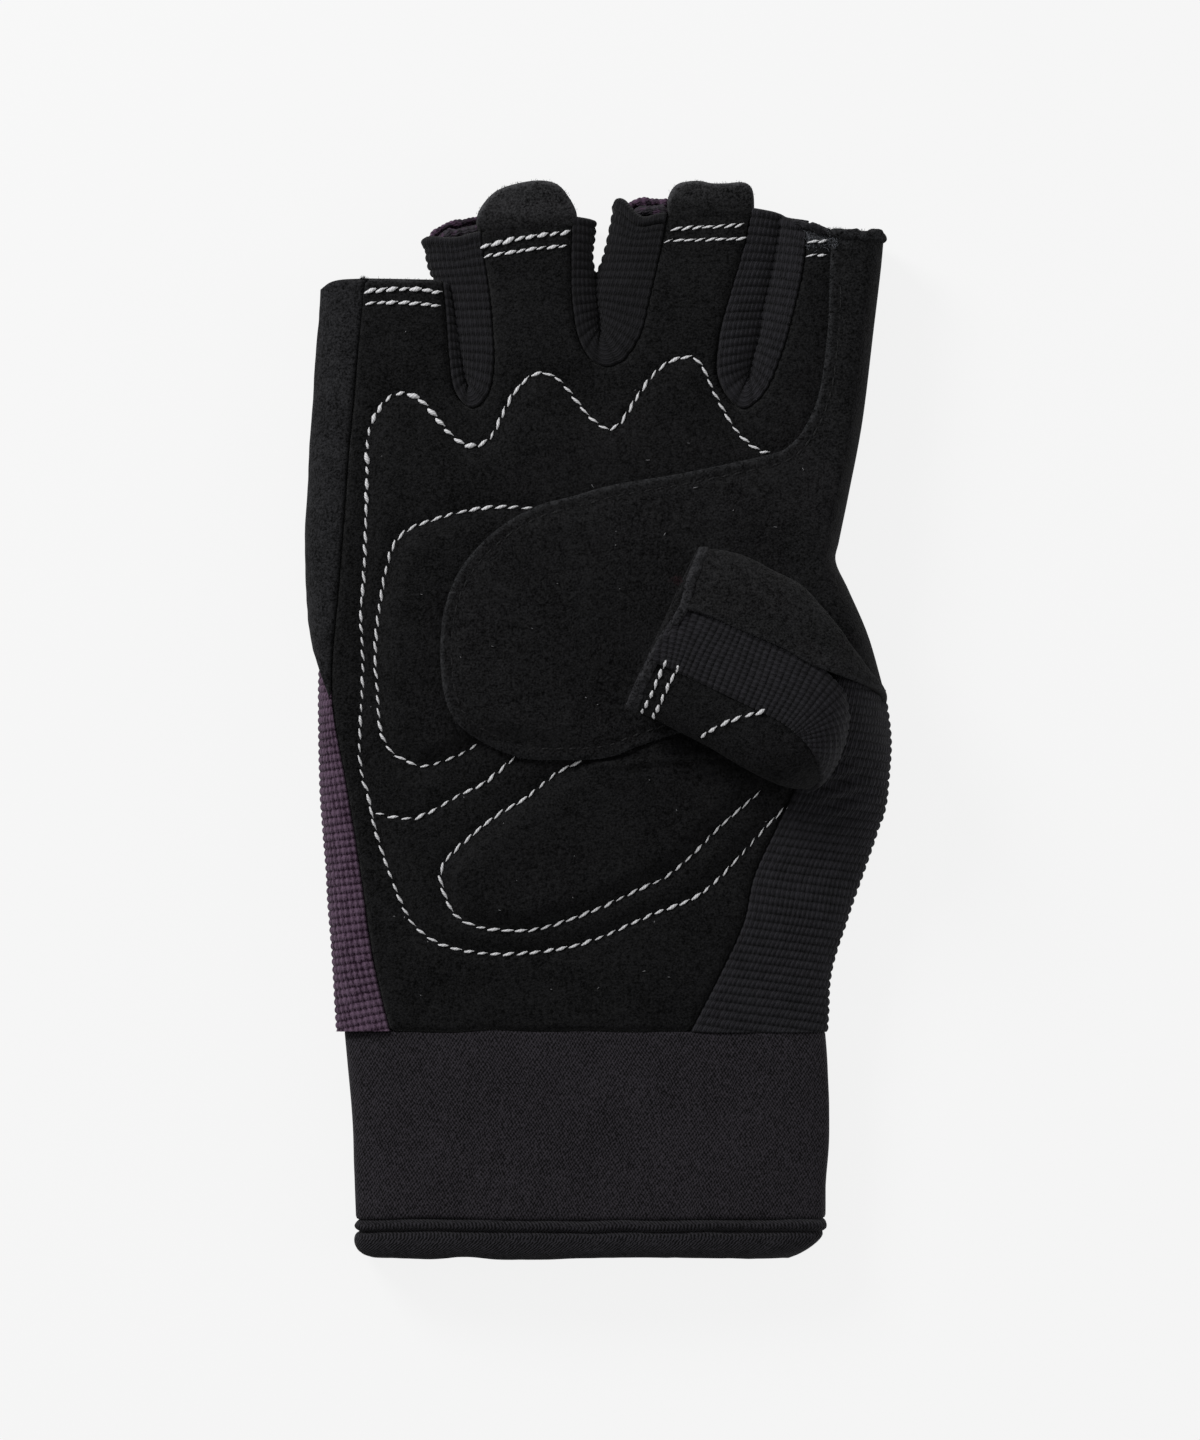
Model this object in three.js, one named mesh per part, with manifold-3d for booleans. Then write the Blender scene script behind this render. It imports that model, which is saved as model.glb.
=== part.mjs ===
// Half-finger climbing glove for the right hand. It lies on its back, palm up, with the
// thumb stall folded over the palm. Millimetres: fingers along +Y, thumb side towards +X,
// +Z up. The origin is on the resting plane under the middle of the glove.

import * as THREE from 'three';
import { mergeVertices } from 'three/addons/utils/BufferGeometryUtils.js';
import Module from 'manifold-3d';

const wasm = await Module();
wasm.setup();

// Walls and gaps
const suedeWall = 1.2;
const knitWall = 1.3;
const palmWall = 1.9;
const cuffWall = 1.5;
const seamGap = 0.3;

// Heights above the resting plane
const handSideHeight = 8.0;
const fingerSideHeight = 6.0;
const handFootInset = 4.5;
const indexFootInset = 3.5;
const fingerFootInset = 3.0;
const wrapLap = 0.8;
const overlayLift = 1.5;

// Crown of the palm across the hand, and its dip along the finger slits
const crownDrop = 1.6;
const crownLimit = 1.2;
const slitDip = 1.3;
const slitDipWidth = 5.0;
const slitStart = 45;
const slitDeep = 60;

// Quilted pads
const fieldRise = 0.8;
const padRise = 1.3;
const padSlope = 4.0;

// Spacing of the faces: across the sheets, along each side wall, and round the cuff
const palmStep = 4.6;
const backStep = 60;
const sideSteps = { littleSide: 8, wrap: 8, indexSide: 12, thumbSide: 14, finger: 14 };
const overlaySteps = 26;
const thumbFaces = { back: 6, gusset: 5, palm: 6 };
const cuffFaces = 34;

// Height of the palm along its middle, and the sides of the hand there
const palmRidge = [
  { y: -56, height: 13.0, left: -45.3, right: 40.5 },
  { y: -30, height: 14.4, left: -47.3, right: 45.8 },
  { y: 0, height: 15.3, left: -49.3, right: 51.2 },
  { y: 35, height: 15.0, left: -51.3, right: 44.0 },
  { y: 60, height: 13.4, left: -49.8, right: 47.8 },
  { y: 95, height: 11.4, left: -47.8, right: 52.0 },
];

// Slits between the fingers: x at the crotch and how it leans towards the tips
const crotchY = 55;
const slits = [
  { x: -23.5, lean: 0.0 },
  { x: 0.4, lean: 0.0 },
  { x: 25.6, lean: 0.2 },
];

// Side of the little finger and hand: seam to the palm, outermost line, foot on the back
const littleSideRows = [
  { seam: [-41.2, 76.6], side: [-48.6, 76.5], foot: [-44.3, 76.5] },
  { seam: [-42.4, 59.5], side: [-49.8, 59.7], foot: [-45.4, 59.7] },
  { seam: [-43.6, 45.0], side: [-50.7, 45.7], foot: [-46.3, 45.7] },
  { seam: [-44.9, 28.0], side: [-51.4, 30.0], foot: [-46.9, 32.0] },
  { seam: [-46.3, 12.0], side: [-51.0, 18.5], foot: [-46.9, 24.0] },
  { seam: [-47.2, 5.6], side: [-49.9, 12.2], foot: [-46.6, 18.6] },
];

// The back wraps up here, from the end of the side panel to the cuff
const wrapRows = [
  { seam: [-47.1, 3.8], side: [-49.8, 10.2], foot: [-45.0, 16.4] },
  { seam: [-45.8, -1.2], side: [-49.2, 3.0], foot: [-44.6, 6.0] },
  { seam: [-43.6, -13.0], side: [-48.9, -11.0], foot: [-44.4, -10.0] },
  { seam: [-41.4, -26.8], side: [-47.8, -26.0], foot: [-43.2, -26.0] },
  { seam: [-39.3, -41.6], side: [-46.3, -41.6], foot: [-41.8, -41.6] },
  { seam: [-36.3, -54.4], side: [-45.2, -54.6], foot: [-40.7, -54.6] },
];

// Outer side of the index finger and the web to the thumb
const indexSideRows = [
  { seam: [46.3, 84.2], side: [51.2, 84.2] },
  { seam: [45.9, 79.0], side: [50.0, 79.0] },
  { seam: [44.9, 69.0], side: [48.6, 69.0] },
  { seam: [43.0, 52.7], side: [46.6, 52.7] },
  { seam: [41.0, 40.0], side: [44.2, 40.0] },
  { seam: [38.9, 31.7], side: [42.5, 31.7] },
  { seam: [38.3, 28.0], side: [41.9, 28.0] },
  { seam: [40.0, 22.9], side: [44.2, 22.9] },
  { seam: [43.2, 15.0], side: [47.6, 15.0] },
  { seam: [46.0, 5.6], side: [50.3, 5.6] },
];

// Rib knit side below the thumb
const thumbSideRows = [
  { seam: [43.0, 5.1], side: [50.4, 5.1] },
  { seam: [43.6, -4.0], side: [51.4, -3.0] },
  { seam: [41.6, -13.4], side: [51.0, -13.0] },
  { seam: [35.6, -15.0], side: [50.4, -15.6] },
  { seam: [31.1, -18.7], side: [49.2, -19.0] },
  { seam: [27.4, -27.0], side: [46.8, -27.0] },
  { seam: [25.5, -35.3], side: [44.0, -35.3] },
  { seam: [21.5, -44.2], side: [41.3, -44.2] },
  { seam: [16.2, -54.4], side: [40.5, -54.6] },
];

// Rib knit walls between the fingers, from the tip of one finger round to the next
const littleRingRows = [
  { seam: [-27.0, 76.5], side: [-25.0, 76.5] },
  { seam: [-26.4, 70.0], side: [-23.9, 70.0] },
  { seam: [-26.0, 63.5], side: [-23.4, 64.0] },
  { seam: [-25.0, 58.0], side: [-23.4, 60.0] },
  { seam: [-22.3, 54.8], side: [-22.9, 58.4] },
  { seam: [-19.2, 57.2], side: [-22.4, 59.8] },
  { seam: [-18.1, 63.2], side: [-22.6, 64.0] },
  { seam: [-18.4, 70.0], side: [-23.1, 69.9] },
  { seam: [-19.0, 76.0], side: [-24.3, 75.8] },
  { seam: [-19.8, 81.0], side: [-29.2, 79.8] },
  { seam: [-20.4, 86.0], side: [-31.0, 83.4] },
];
const ringMiddleRows = [
  { seam: [-4.6, 87.3], side: [-0.1, 87.0] },
  { seam: [-4.6, 81.0], side: [-0.1, 81.0] },
  { seam: [-4.5, 74.0], side: [0.0, 74.4] },
  { seam: [-3.2, 66.8], side: [0.1, 69.6] },
  { seam: [0.0, 62.5], side: [0.4, 67.8] },
  { seam: [4.2, 62.9], side: [0.9, 68.0] },
  { seam: [7.6, 67.8], side: [1.0, 71.0] },
  { seam: [9.4, 75.0], side: [0.7, 76.0] },
  { seam: [10.8, 81.5], side: [0.9, 81.5] },
  { seam: [12.2, 88.8], side: [2.7, 88.6] },
];
const middleIndexRows = [
  { seam: [27.0, 88.8], side: [31.8, 88.2] },
  { seam: [25.3, 82.0], side: [30.6, 81.8] },
  { seam: [23.2, 74.8], side: [29.1, 75.0] },
  { seam: [21.4, 67.5], side: [27.5, 68.4] },
  { seam: [21.2, 60.0], side: [26.5, 62.0] },
  { seam: [25.0, 54.8], side: [26.8, 59.9] },
  { seam: [29.2, 57.4], side: [27.2, 61.6] },
  { seam: [32.0, 63.6], side: [27.8, 65.6] },
  { seam: [34.0, 70.4], side: [29.2, 71.6] },
  { seam: [35.8, 78.4], side: [31.1, 79.4] },
  { seam: [37.0, 86.0], side: [32.7, 86.2] },
];

// Edges of the back where the fingers leave, from the little finger to the index finger
const backTips = [
  [[-44.0, 77.2], [-29.0, 77.2]],
  [[-27.4, 86.8], [-23.6, 88.1], [-3.4, 88.2]],
  [[5.6, 91.3], [26.0, 90.4], [28.4, 88.8]],
  [[35.8, 87.0], [47.2, 85.4]],
];

// Edge of the second suede layer over the palm, from the index fingertip to the web
const overlayEdge = [
  [40.5, 85.6], [40.4, 70.0], [38.6, 56.6], [31.6, 47.6], [17.9, 44.1], [0.4, 41.5],
  [-12.7, 37.3], [-22.3, 29.0], [-26.9, 18.0], [-26.4, 5.4], [-19.7, -3.8], [-7.0, -6.4],
  [8.0, -4.2], [24.0, -2.0], [38.0, 0.0],
];

// How far the second layer's plate runs into its side, and the palm's corner under the
// root of the thumb, where its seam stops
const overlayJoin = 0.2;
const palmCorner = [39.5, 1.0];
const palmSeamEnd = 37.5;

// Quilting lines of the pads
const padField = [
  [-40.4, 47.2], [-34.6, 57.4], [-22.3, 47.9], [-10.1, 61.1], [1.8, 50.9], [15.3, 63.8],
  [29.8, 46.9], [44.0, 30.0], [46.0, 0.0], [33.7, -14.7], [19.2, -29.4], [-3.1, -39.1],
  [-16.1, -40.8], [-30.2, -37.4], [-39.3, -17.3], [-41.2, 10.0],
];
const fingerPad = [
  [-11.8, 37.1], [-24.0, 36.6], [-35.4, 30.0], [-38.8, 13.5], [-37.4, -3.6], [-30.9, -8.0],
  [-20.9, -4.0], [-4.0, 6.0], [4.0, 26.0],
];
const thumbPad = [
  [-3.1, -7.3], [-17.4, -16.3], [-27.6, -27.3], [-18.8, -36.4], [-1.5, -33.4], [16.7, -23.3],
  [28.1, -12.6], [30.0, 0.0], [14.0, 0.0],
];

// Thumb stall from its open end to its root: its two folded edges, the height of its
// middle, half its thickness, how far it leans over into the hand, and the two seams of
// its gusset as parts of the way round it (0 upper edge, 0.25 top, 0.5 lower edge)
const thumbRows = [
  { lower: [5.3, 2.4], upper: [16.2, 29.4], z: 23.2, half: 4.6, lean: 0, backSeam: 0.18, palmSeam: 0.36 },
  { lower: [11.5, -0.5], upper: [22.3, 29.6], z: 23.2, half: 4.9, lean: 0, backSeam: 0.18, palmSeam: 0.36 },
  { lower: [17.9, -3.7], upper: [29.3, 26.8], z: 23.2, half: 4.9, lean: 0, backSeam: 0.18, palmSeam: 0.36 },
  { lower: [24.1, -7.3], upper: [35.2, 23.6], z: 23.2, half: 4.9, lean: 0, backSeam: 0.16, palmSeam: 0.35 },
  { lower: [29.3, -10.1], upper: [40.3, 18.0], z: 23.1, half: 4.9, lean: 5, backSeam: 0.14, palmSeam: 0.33 },
  { lower: [33.7, -11.9], upper: [44.0, 12.8], z: 22.5, half: 4.9, lean: 18, backSeam: 0.12, palmSeam: 0.37 },
  { lower: [36.2, -12.6], upper: [45.2, 8.8], z: 20.7, half: 4.8, lean: 42, backSeam: 0.1, palmSeam: 0.45 },
  { lower: [36.9, -13.4], upper: [45.4, 6.0], z: 17.8, half: 4.6, lean: 66, backSeam: 0.09, palmSeam: 0.52 },
  { lower: [36.6, -13.0], upper: [44.8, 5.6], z: 14.2, half: 4.4, lean: 86, backSeam: 0.08, palmSeam: 0.55 },
];
const thumbUnderSeam = 0.75;
const thumbSquareness = 2.6;
const thumbSteps = 13;
const thumbHoleGap = 0.4;
const thumbRootDepth = 5;

// Cuff, its piping and its hem, as rows from the hand to the mouth
const cuffRows = [
  { y: -55.0, left: -44.4, right: 40.0, low: 0.3, high: 12.6 },
  { y: -61.0, left: -43.8, right: 40.5, low: 0.3, high: 12.6 },
  { y: -72.0, left: -42.9, right: 40.7, low: 0.3, high: 12.2 },
  { y: -80.0, left: -42.7, right: 40.2, low: 0.3, high: 11.9 },
  { y: -87.3, left: -42.4, right: 39.9, low: 0.3, high: 11.6 },
];
const pipingRows = [
  { y: -87.6, left: -42.2, right: 39.8, low: 0.5, high: 11.5 },
  { y: -88.1, left: -42.6, right: 40.2, low: 0.1, high: 11.9 },
  { y: -88.9, left: -42.6, right: 40.2, low: 0.1, high: 11.9 },
  { y: -89.4, left: -42.2, right: 39.8, low: 0.5, high: 11.5 },
];
const hemRows = [
  { y: -89.7, left: -42.1, right: 39.7, low: 0.6, high: 11.4 },
  { y: -90.5, left: -42.8, right: 39.6, low: 0.0, high: 12.2 },
  { y: -92.3, left: -42.7, right: 37.8, low: 0.0, high: 12.4 },
  { y: -93.6, left: -41.6, right: 35.4, low: 0.3, high: 12.0 },
  { y: -94.2, left: -39.8, right: 33.6, low: 1.1, high: 11.2 },
];
const hemWall = 1.9;
const cuffTopSquareness = 3.2;
const cuffFloorSquareness = 9.0;

// Folded suede pull tabs at two fingertips
const tabThickness = 2.4;
const tabSoftening = 0.6;
const ringTabOutline = [
  [-21.0, 87.9], [-20.4, 90.4], [-18.6, 92.5], [-14.3, 93.8], [-10.1, 94.3], [-7.2, 93.9],
  [-4.6, 91.5], [-3.2, 88.4],
];
const ringTabHeight = 9.1;
const middleTabOutline = [
  [12.3, 89.7], [12.3, 91.9], [13.4, 93.5], [15.2, 94.0], [25.2, 94.0], [26.8, 93.2],
  [27.4, 91.4], [27.5, 89.7],
];
const middleTabHeight = 8.9;

const materials = {
  suede: new THREE.MeshStandardMaterial({ color: 0x141415, roughness: 0.95, metalness: 0 }),
  ribKnit: new THREE.MeshStandardMaterial({ color: 0x1b1a1e, roughness: 0.85, metalness: 0 }),
  purpleKnit: new THREE.MeshStandardMaterial({ color: 0x3a2a3e, roughness: 0.85, metalness: 0 }),
  cuffKnit: new THREE.MeshStandardMaterial({ color: 0x211f22, roughness: 0.7, metalness: 0 }),
};

const glove = new THREE.Group();

function addPiece(name, geometry, material) {
  const mesh = new THREE.Mesh(geometry, material);
  mesh.name = name;
  glove.add(mesh);
}

function toSolid(geometry) {
  const bare = geometry.clone();
  bare.deleteAttribute('normal');
  bare.deleteAttribute('uv');
  const merged = mergeVertices(bare, 1e-4);
  return new wasm.Manifold(new wasm.Mesh({
    numProp: 3,
    vertProperties: new Float32Array(merged.attributes.position.array),
    triVerts: new Uint32Array(merged.index.array),
  }));
}

function toGeometry(solid) {
  const mesh = solid.getMesh();
  const geometry = new THREE.BufferGeometry();
  geometry.setAttribute('position', new THREE.BufferAttribute(mesh.vertProperties, 3));
  geometry.setIndex(new THREE.BufferAttribute(mesh.triVerts, 1));
  geometry.computeVertexNormals();
  return geometry;
}

function meshOf(points, faces) {
  const geometry = new THREE.BufferGeometry();
  const positions = points.flatMap((point) => point.toArray());
  geometry.setAttribute('position', new THREE.Float32BufferAttribute(positions, 3));
  geometry.setIndex(faces);
  geometry.computeVertexNormals();
  return geometry;
}

// Points on a smooth curve through a list of [x, y] points
function smoothLine(points, steps) {
  const corners = points.map(([x, y]) => new THREE.Vector3(x, y, 0));
  const curve = new THREE.CatmullRomCurve3(corners, false, 'catmullrom', 0.5);
  return curve.getPoints(steps).map((point) => [point.x, point.y]);
}

// Value of one column of a table at height y of the glove, smoothed between its rows
function columnAt(rows, column, y) {
  const last = rows.length - 1;
  if (y <= rows[0].y) return rows[0][column];
  if (y >= rows[last].y) return rows[last][column];
  const next = rows.findIndex((row) => row.y > y);
  const blend = THREE.MathUtils.smoothstep(y, rows[next - 1].y, rows[next].y);
  return THREE.MathUtils.lerp(rows[next - 1][column], rows[next][column], blend);
}

// How far a point lies inside a closed outline, negative outside it
function depthInside(x, y, outline) {
  let inside = false;
  let nearest = Infinity;
  outline.forEach(([x1, y1], index) => {
    const [x2, y2] = outline[(index + 1) % outline.length];
    if ((y1 > y) !== (y2 > y) && x < ((x2 - x1) * (y - y1)) / (y2 - y1) + x1) inside = !inside;
    const length2 = (x2 - x1) ** 2 + (y2 - y1) ** 2;
    const along = THREE.MathUtils.clamp(((x - x1) * (x2 - x1) + (y - y1) * (y2 - y1)) / length2, 0, 1);
    nearest = Math.min(nearest, Math.hypot(x - x1 - along * (x2 - x1), y - y1 - along * (y2 - y1)));
  });
  return inside ? nearest : -nearest;
}

// Height of the palm's outer face before its pads
function handTop(x, y) {
  const left = columnAt(palmRidge, 'left', y);
  const right = columnAt(palmRidge, 'right', y);
  const across = (2 * x - left - right) / (right - left);
  let height = columnAt(palmRidge, 'height', y) - crownDrop * Math.min(across ** 4, crownLimit);
  const openness = THREE.MathUtils.smoothstep(y, slitStart, slitDeep);
  slits.forEach((slit) => {
    const distance = (x - slit.x - slit.lean * (y - crotchY)) / slitDipWidth;
    height -= slitDip * openness * Math.exp(-distance * distance);
  });
  return height;
}

// Height of the palm's outer face with its pads
function palmTop(x, y) {
  const lift = (outline) => THREE.MathUtils.smoothstep(depthInside(x, y, outline), 0, padSlope);
  const field = fieldRise * lift(padField);
  const pads = padRise * Math.max(lift(fingerPad), lift(thumbPad));
  return handTop(x, y) + field + pads;
}

const overlayTop = (x, y) => palmTop(x, y) + overlayLift;

// A closed wall between matching grids of points on its outer and inner faces
function wallBetween(outerGrid, innerGrid) {
  const rows = outerGrid.length;
  const columns = outerGrid[0].length;
  const [row, column] = [Math.floor(rows / 2), Math.floor(columns / 2)];
  const corner = outerGrid[row][column];
  const along = outerGrid[row + 1][column].clone().sub(corner);
  const across = outerGrid[row][column + 1].clone().sub(corner);
  const facesOut = along.cross(across).dot(corner.clone().sub(innerGrid[row][column])) > 0;
  const outer = (i, j) => i * columns + j;
  const inner = (i, j) => rows * columns + i * columns + j;
  const faces = [];
  const quad = (a, b, c, d) => {
    if (facesOut) faces.push(a, b, c, a, c, d);
    else faces.push(a, c, b, a, d, c);
  };
  const lastRow = rows - 1;
  const lastColumn = columns - 1;
  for (let i = 0; i < lastRow; i += 1) {
    for (let j = 0; j < lastColumn; j += 1) {
      quad(outer(i, j), outer(i + 1, j), outer(i + 1, j + 1), outer(i, j + 1));
      quad(inner(i, j), inner(i, j + 1), inner(i + 1, j + 1), inner(i + 1, j));
    }
    quad(outer(i, 0), inner(i, 0), inner(i + 1, 0), outer(i + 1, 0));
    quad(outer(i, lastColumn), outer(i + 1, lastColumn), inner(i + 1, lastColumn), inner(i, lastColumn));
  }
  for (let j = 0; j < lastColumn; j += 1) {
    quad(outer(0, j), outer(0, j + 1), inner(0, j + 1), inner(0, j));
    quad(outer(lastRow, j), inner(lastRow, j), inner(lastRow, j + 1), outer(lastRow, j + 1));
  }
  return meshOf([...outerGrid.flat(), ...innerGrid.flat()], faces);
}

// Foot of a side wall: on the back, inset from the outermost line towards the seam
function footOf(row, inset) {
  if (row.foot) return row.foot;
  const [dx, dy] = [row.seam[0] - row.side[0], row.seam[1] - row.side[1]];
  const reach = inset / Math.hypot(dx, dy);
  return [row.side[0] + dx * reach, row.side[1] + dy * reach];
}

const footLine = (rows, inset, steps) => smoothLine(rows.map((row) => footOf(row, inset)), steps);
const seamLine = (rows, steps) => smoothLine(rows.map((row) => row.seam), steps);

// A side wall: a quarter oval from the seam out to the side, and another down to the foot.
// At the seam it lies level with the palm, and at the foot level with the back.
function sideWall(rows, steps, top, sideHeight, inset, wall) {
  const upperFaces = 4;
  const lowerFaces = 3;
  const seams = seamLine(rows, steps);
  const sides = smoothLine(rows.map((row) => row.side), steps);
  const feet = footLine(rows, inset, steps);
  const grid = seams.map((seam, index) => {
    const seamHeight = top(seam[0], seam[1]);
    const [side, foot] = [sides[index], feet[index]];
    const between = (from, to, part, height) => new THREE.Vector3(
      THREE.MathUtils.lerp(from[0], to[0], part),
      THREE.MathUtils.lerp(from[1], to[1], part),
      height,
    );
    const section = [];
    for (let k = 0; k <= upperFaces; k += 1) {
      const angle = (k / upperFaces) * (Math.PI / 2);
      const height = THREE.MathUtils.lerp(sideHeight, seamHeight, Math.cos(angle));
      section.push(between(seam, side, Math.sin(angle), height));
    }
    for (let k = 1; k <= lowerFaces; k += 1) {
      const angle = (k / lowerFaces) * (Math.PI / 2);
      section.push(between(side, foot, 1 - Math.cos(angle), sideHeight * (1 - Math.sin(angle))));
    }
    return section;
  });
  const lastColumn = grid[0].length - 1;
  const [near, far] = [grid[steps / 2], grid[steps / 2 + 1]];
  const facesDown = far[1].clone().sub(near[1]).cross(near[2].clone().sub(near[0])).z < 0;
  const normals = grid.map((row, i) => row.map((point, j) => {
    if (j === 0 || j === lastColumn) return new THREE.Vector3(0, 0, j === 0 ? 1 : -1);
    const along = grid[Math.min(i + 1, steps)][j].clone().sub(grid[Math.max(i - 1, 0)][j]);
    const normal = along.cross(row[j + 1].clone().sub(row[j - 1])).normalize();
    if (facesDown) normal.negate();
    normal.z += Math.max(0, 1 - j / upperFaces);
    return normal.normalize();
  }));
  const inner = grid.map((row, i) => row.map((point, j) => (
    point.clone().addScaledVector(normals[i][j], -wall))));
  return wallBetween(grid, inner);
}

// An outline moved inwards by a small gap
function insetOutline(outline, gap) {
  const area = outline.reduce((sum, [x, y], index) => {
    const [nextX, nextY] = outline[(index + 1) % outline.length];
    return sum + x * nextY - nextX * y;
  }, 0);
  return outline.map(([x, y], index) => {
    const [lastX, lastY] = outline[(index + outline.length - 1) % outline.length];
    const [nextX, nextY] = outline[(index + 1) % outline.length];
    const along = new THREE.Vector2(nextX - lastX, nextY - lastY).normalize();
    return [x - along.y * gap * Math.sign(area), y + along.x * gap * Math.sign(area)];
  });
}

// Everything below a height, inside an outline. Blocks of one step share their grid, so
// one can be cut from another evenly.
function blockUnder(outline, step, height) {
  const floor = -20;
  const box = new THREE.Box2().setFromPoints(outline.map(([x, y]) => new THREE.Vector2(x, y)));
  const low = box.min.divideScalar(step).floor().multiplyScalar(step);
  const cells = box.max.sub(low).divideScalar(step).ceil();
  const [width, length] = [cells.x * step, cells.y * step];
  const block = new THREE.BoxGeometry(width, length, 1, cells.x, cells.y, 1)
    .translate(low.x + width / 2, low.y + length / 2, 0);
  const place = block.attributes.position;
  for (let index = 0; index < place.count; index += 1) {
    const isTop = place.getZ(index) > 0;
    place.setZ(index, isTop ? height(place.getX(index), place.getY(index)) : floor);
  }
  return toSolid(block);
}

// A sheet between two heights, cut to an outline
function cutSheet(outline, step, top, bottom) {
  const reach = 60;
  const prism = new THREE.ExtrudeGeometry(
    new THREE.Shape(outline.map(([x, y]) => new THREE.Vector2(x, y))),
    { depth: reach, bevelEnabled: false },
  ).translate(0, 0, -1);
  return toSolid(prism)
    .intersect(blockUnder(outline, step, top))
    .subtract(blockUnder(outline, step, bottom));
}

// A rounded flat loop round the middle of a tube: squareness above 2 flattens its faces
function ovalLoop(middle, wide, tall, topSquareness, bottomSquareness) {
  const loopPoints = 96;
  const bow = (value, squareness) => Math.sign(value) * Math.abs(value) ** (2 / squareness);
  return Array.from({ length: loopPoints }, (_, index) => {
    const angle = (index / loopPoints) * 2 * Math.PI;
    const squareness = Math.sin(angle) < 0 ? bottomSquareness : topSquareness;
    return middle.clone()
      .addScaledVector(wide, bow(Math.cos(angle), squareness))
      .addScaledVector(tall, bow(Math.sin(angle), squareness));
  });
}

// Points spaced evenly along part of a loop, from one part of the way round to another
function alongLoop(loop, from, to, faces, fromGap = 0, toGap = 0) {
  const ring = [...loop, loop[0]];
  const lengths = [0];
  ring.slice(1).forEach((point, index) => lengths.push(lengths[index] + point.distanceTo(ring[index])));
  const total = lengths[lengths.length - 1];
  const start = from * total + fromGap;
  const end = to * total - toGap;
  return Array.from({ length: faces + 1 }, (_, k) => {
    const distance = THREE.MathUtils.euclideanModulo(THREE.MathUtils.lerp(start, end, k / faces), total);
    const next = Math.max(1, lengths.findIndex((length) => length >= distance));
    const part = (distance - lengths[next - 1]) / (lengths[next] - lengths[next - 1]);
    return ring[next - 1].clone().lerp(ring[next], part);
  });
}

// Smoothed rows of the thumb stall, each with its loop and the places of its seams
function thumbSections(grow) {
  const lowers = smoothLine(thumbRows.map((row) => row.lower), thumbSteps);
  const uppers = smoothLine(thumbRows.map((row) => row.upper), thumbSteps);
  const column = (name) => smoothLine(thumbRows.map((row, index) => [row[name], index]), thumbSteps)
    .map(([value]) => value);
  const [heights, halves, leans] = [column('z'), column('half'), column('lean')];
  const [backSeams, palmSeams] = [column('backSeam'), column('palmSeam')];
  return lowers.map(([lowerX, lowerY], index) => {
    const [upperX, upperY] = uppers[index];
    const middle = new THREE.Vector3((lowerX + upperX) / 2, (lowerY + upperY) / 2, heights[index]);
    const wide = new THREE.Vector3((upperX - lowerX) / 2, (upperY - lowerY) / 2, 0);
    const lean = THREE.MathUtils.degToRad(leans[index]);
    const outward = new THREE.Vector3(wide.y, -wide.x, 0).normalize();
    const tall = new THREE.Vector3(0, 0, Math.cos(lean)).addScaledVector(outward, Math.sin(lean));
    wide.setLength(wide.length() + grow);
    tall.setLength(halves[index] + grow);
    const loop = ovalLoop(middle, wide, tall, thumbSquareness, thumbSquareness);
    return { loop, backSeam: backSeams[index], palmSeam: palmSeams[index] };
  });
}

// One lengthwise strip of the thumb stall between two of its seams
function thumbStrip(faces, from, to, wall) {
  const [outer, inner] = [0, -wall].map((grow) => thumbSections(grow).map((section) => (
    alongLoop(section.loop, from(section), to(section), faces, seamGap / 2, seamGap / 2))));
  return wallBetween(outer, inner);
}

// Faces between neighbouring rings of points
function ringFaces(rings, firstIndex, flip) {
  const around = rings[0].length;
  const faces = [];
  for (let i = 0; i < rings.length - 1; i += 1) {
    for (let j = 0; j < around; j += 1) {
      const next = (j + 1) % around;
      const corners = [i * around + j, i * around + next, (i + 1) * around + next, (i + 1) * around + j]
        .map((corner) => corner + firstIndex);
      if (flip) corners.reverse();
      faces.push(corners[0], corners[1], corners[2], corners[0], corners[2], corners[3]);
    }
  }
  return faces;
}

// The solid space that the thumb stall takes up, for the hole at its root
function thumbSpace() {
  const around = 22;
  const rings = thumbSections(thumbHoleGap)
    .map((section) => alongLoop(section.loop, 0, (around - 1) / around, around - 1));
  rings.push(rings[rings.length - 1].map((point) => point.clone().setZ(point.z - thumbRootDepth)));
  const faces = ringFaces(rings, 0, false);
  const last = (rings.length - 1) * around;
  for (let j = 1; j < around - 1; j += 1) {
    faces.push(0, j + 1, j, last, last + j, last + j + 1);
  }
  return toSolid(meshOf(rings.flat(), faces));
}

// A flat open sleeve through rows of the cuff, with a wall of even thickness
function sleeve(rows, wall, around) {
  const ring = (row, inwards) => {
    const middle = new THREE.Vector3((row.left + row.right) / 2, row.y, (row.low + row.high) / 2);
    const wide = new THREE.Vector3((row.right - row.left) / 2 - inwards, 0, 0);
    const tall = new THREE.Vector3(0, 0, (row.high - row.low) / 2 - inwards);
    const loop = ovalLoop(middle, wide, tall, cuffTopSquareness, cuffFloorSquareness);
    return alongLoop(loop, 0, (around - 1) / around, around - 1);
  };
  const outer = rows.map((row) => ring(row, 0));
  const inner = rows.map((row) => ring(row, wall));
  const innerStart = rows.length * around;
  const faces = [...ringFaces(outer, 0, false), ...ringFaces(inner, innerStart, true)];
  for (let j = 0; j < around; j += 1) {
    const next = (j + 1) % around;
    const last = (rows.length - 1) * around;
    faces.push(j, innerStart + next, next, j, innerStart + j, innerStart + next);
    faces.push(last + j, last + next, innerStart + last + next);
    faces.push(last + j, innerStart + last + next, innerStart + last + j);
  }
  return meshOf([...outer.flat(), ...inner.flat()], faces);
}

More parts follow.
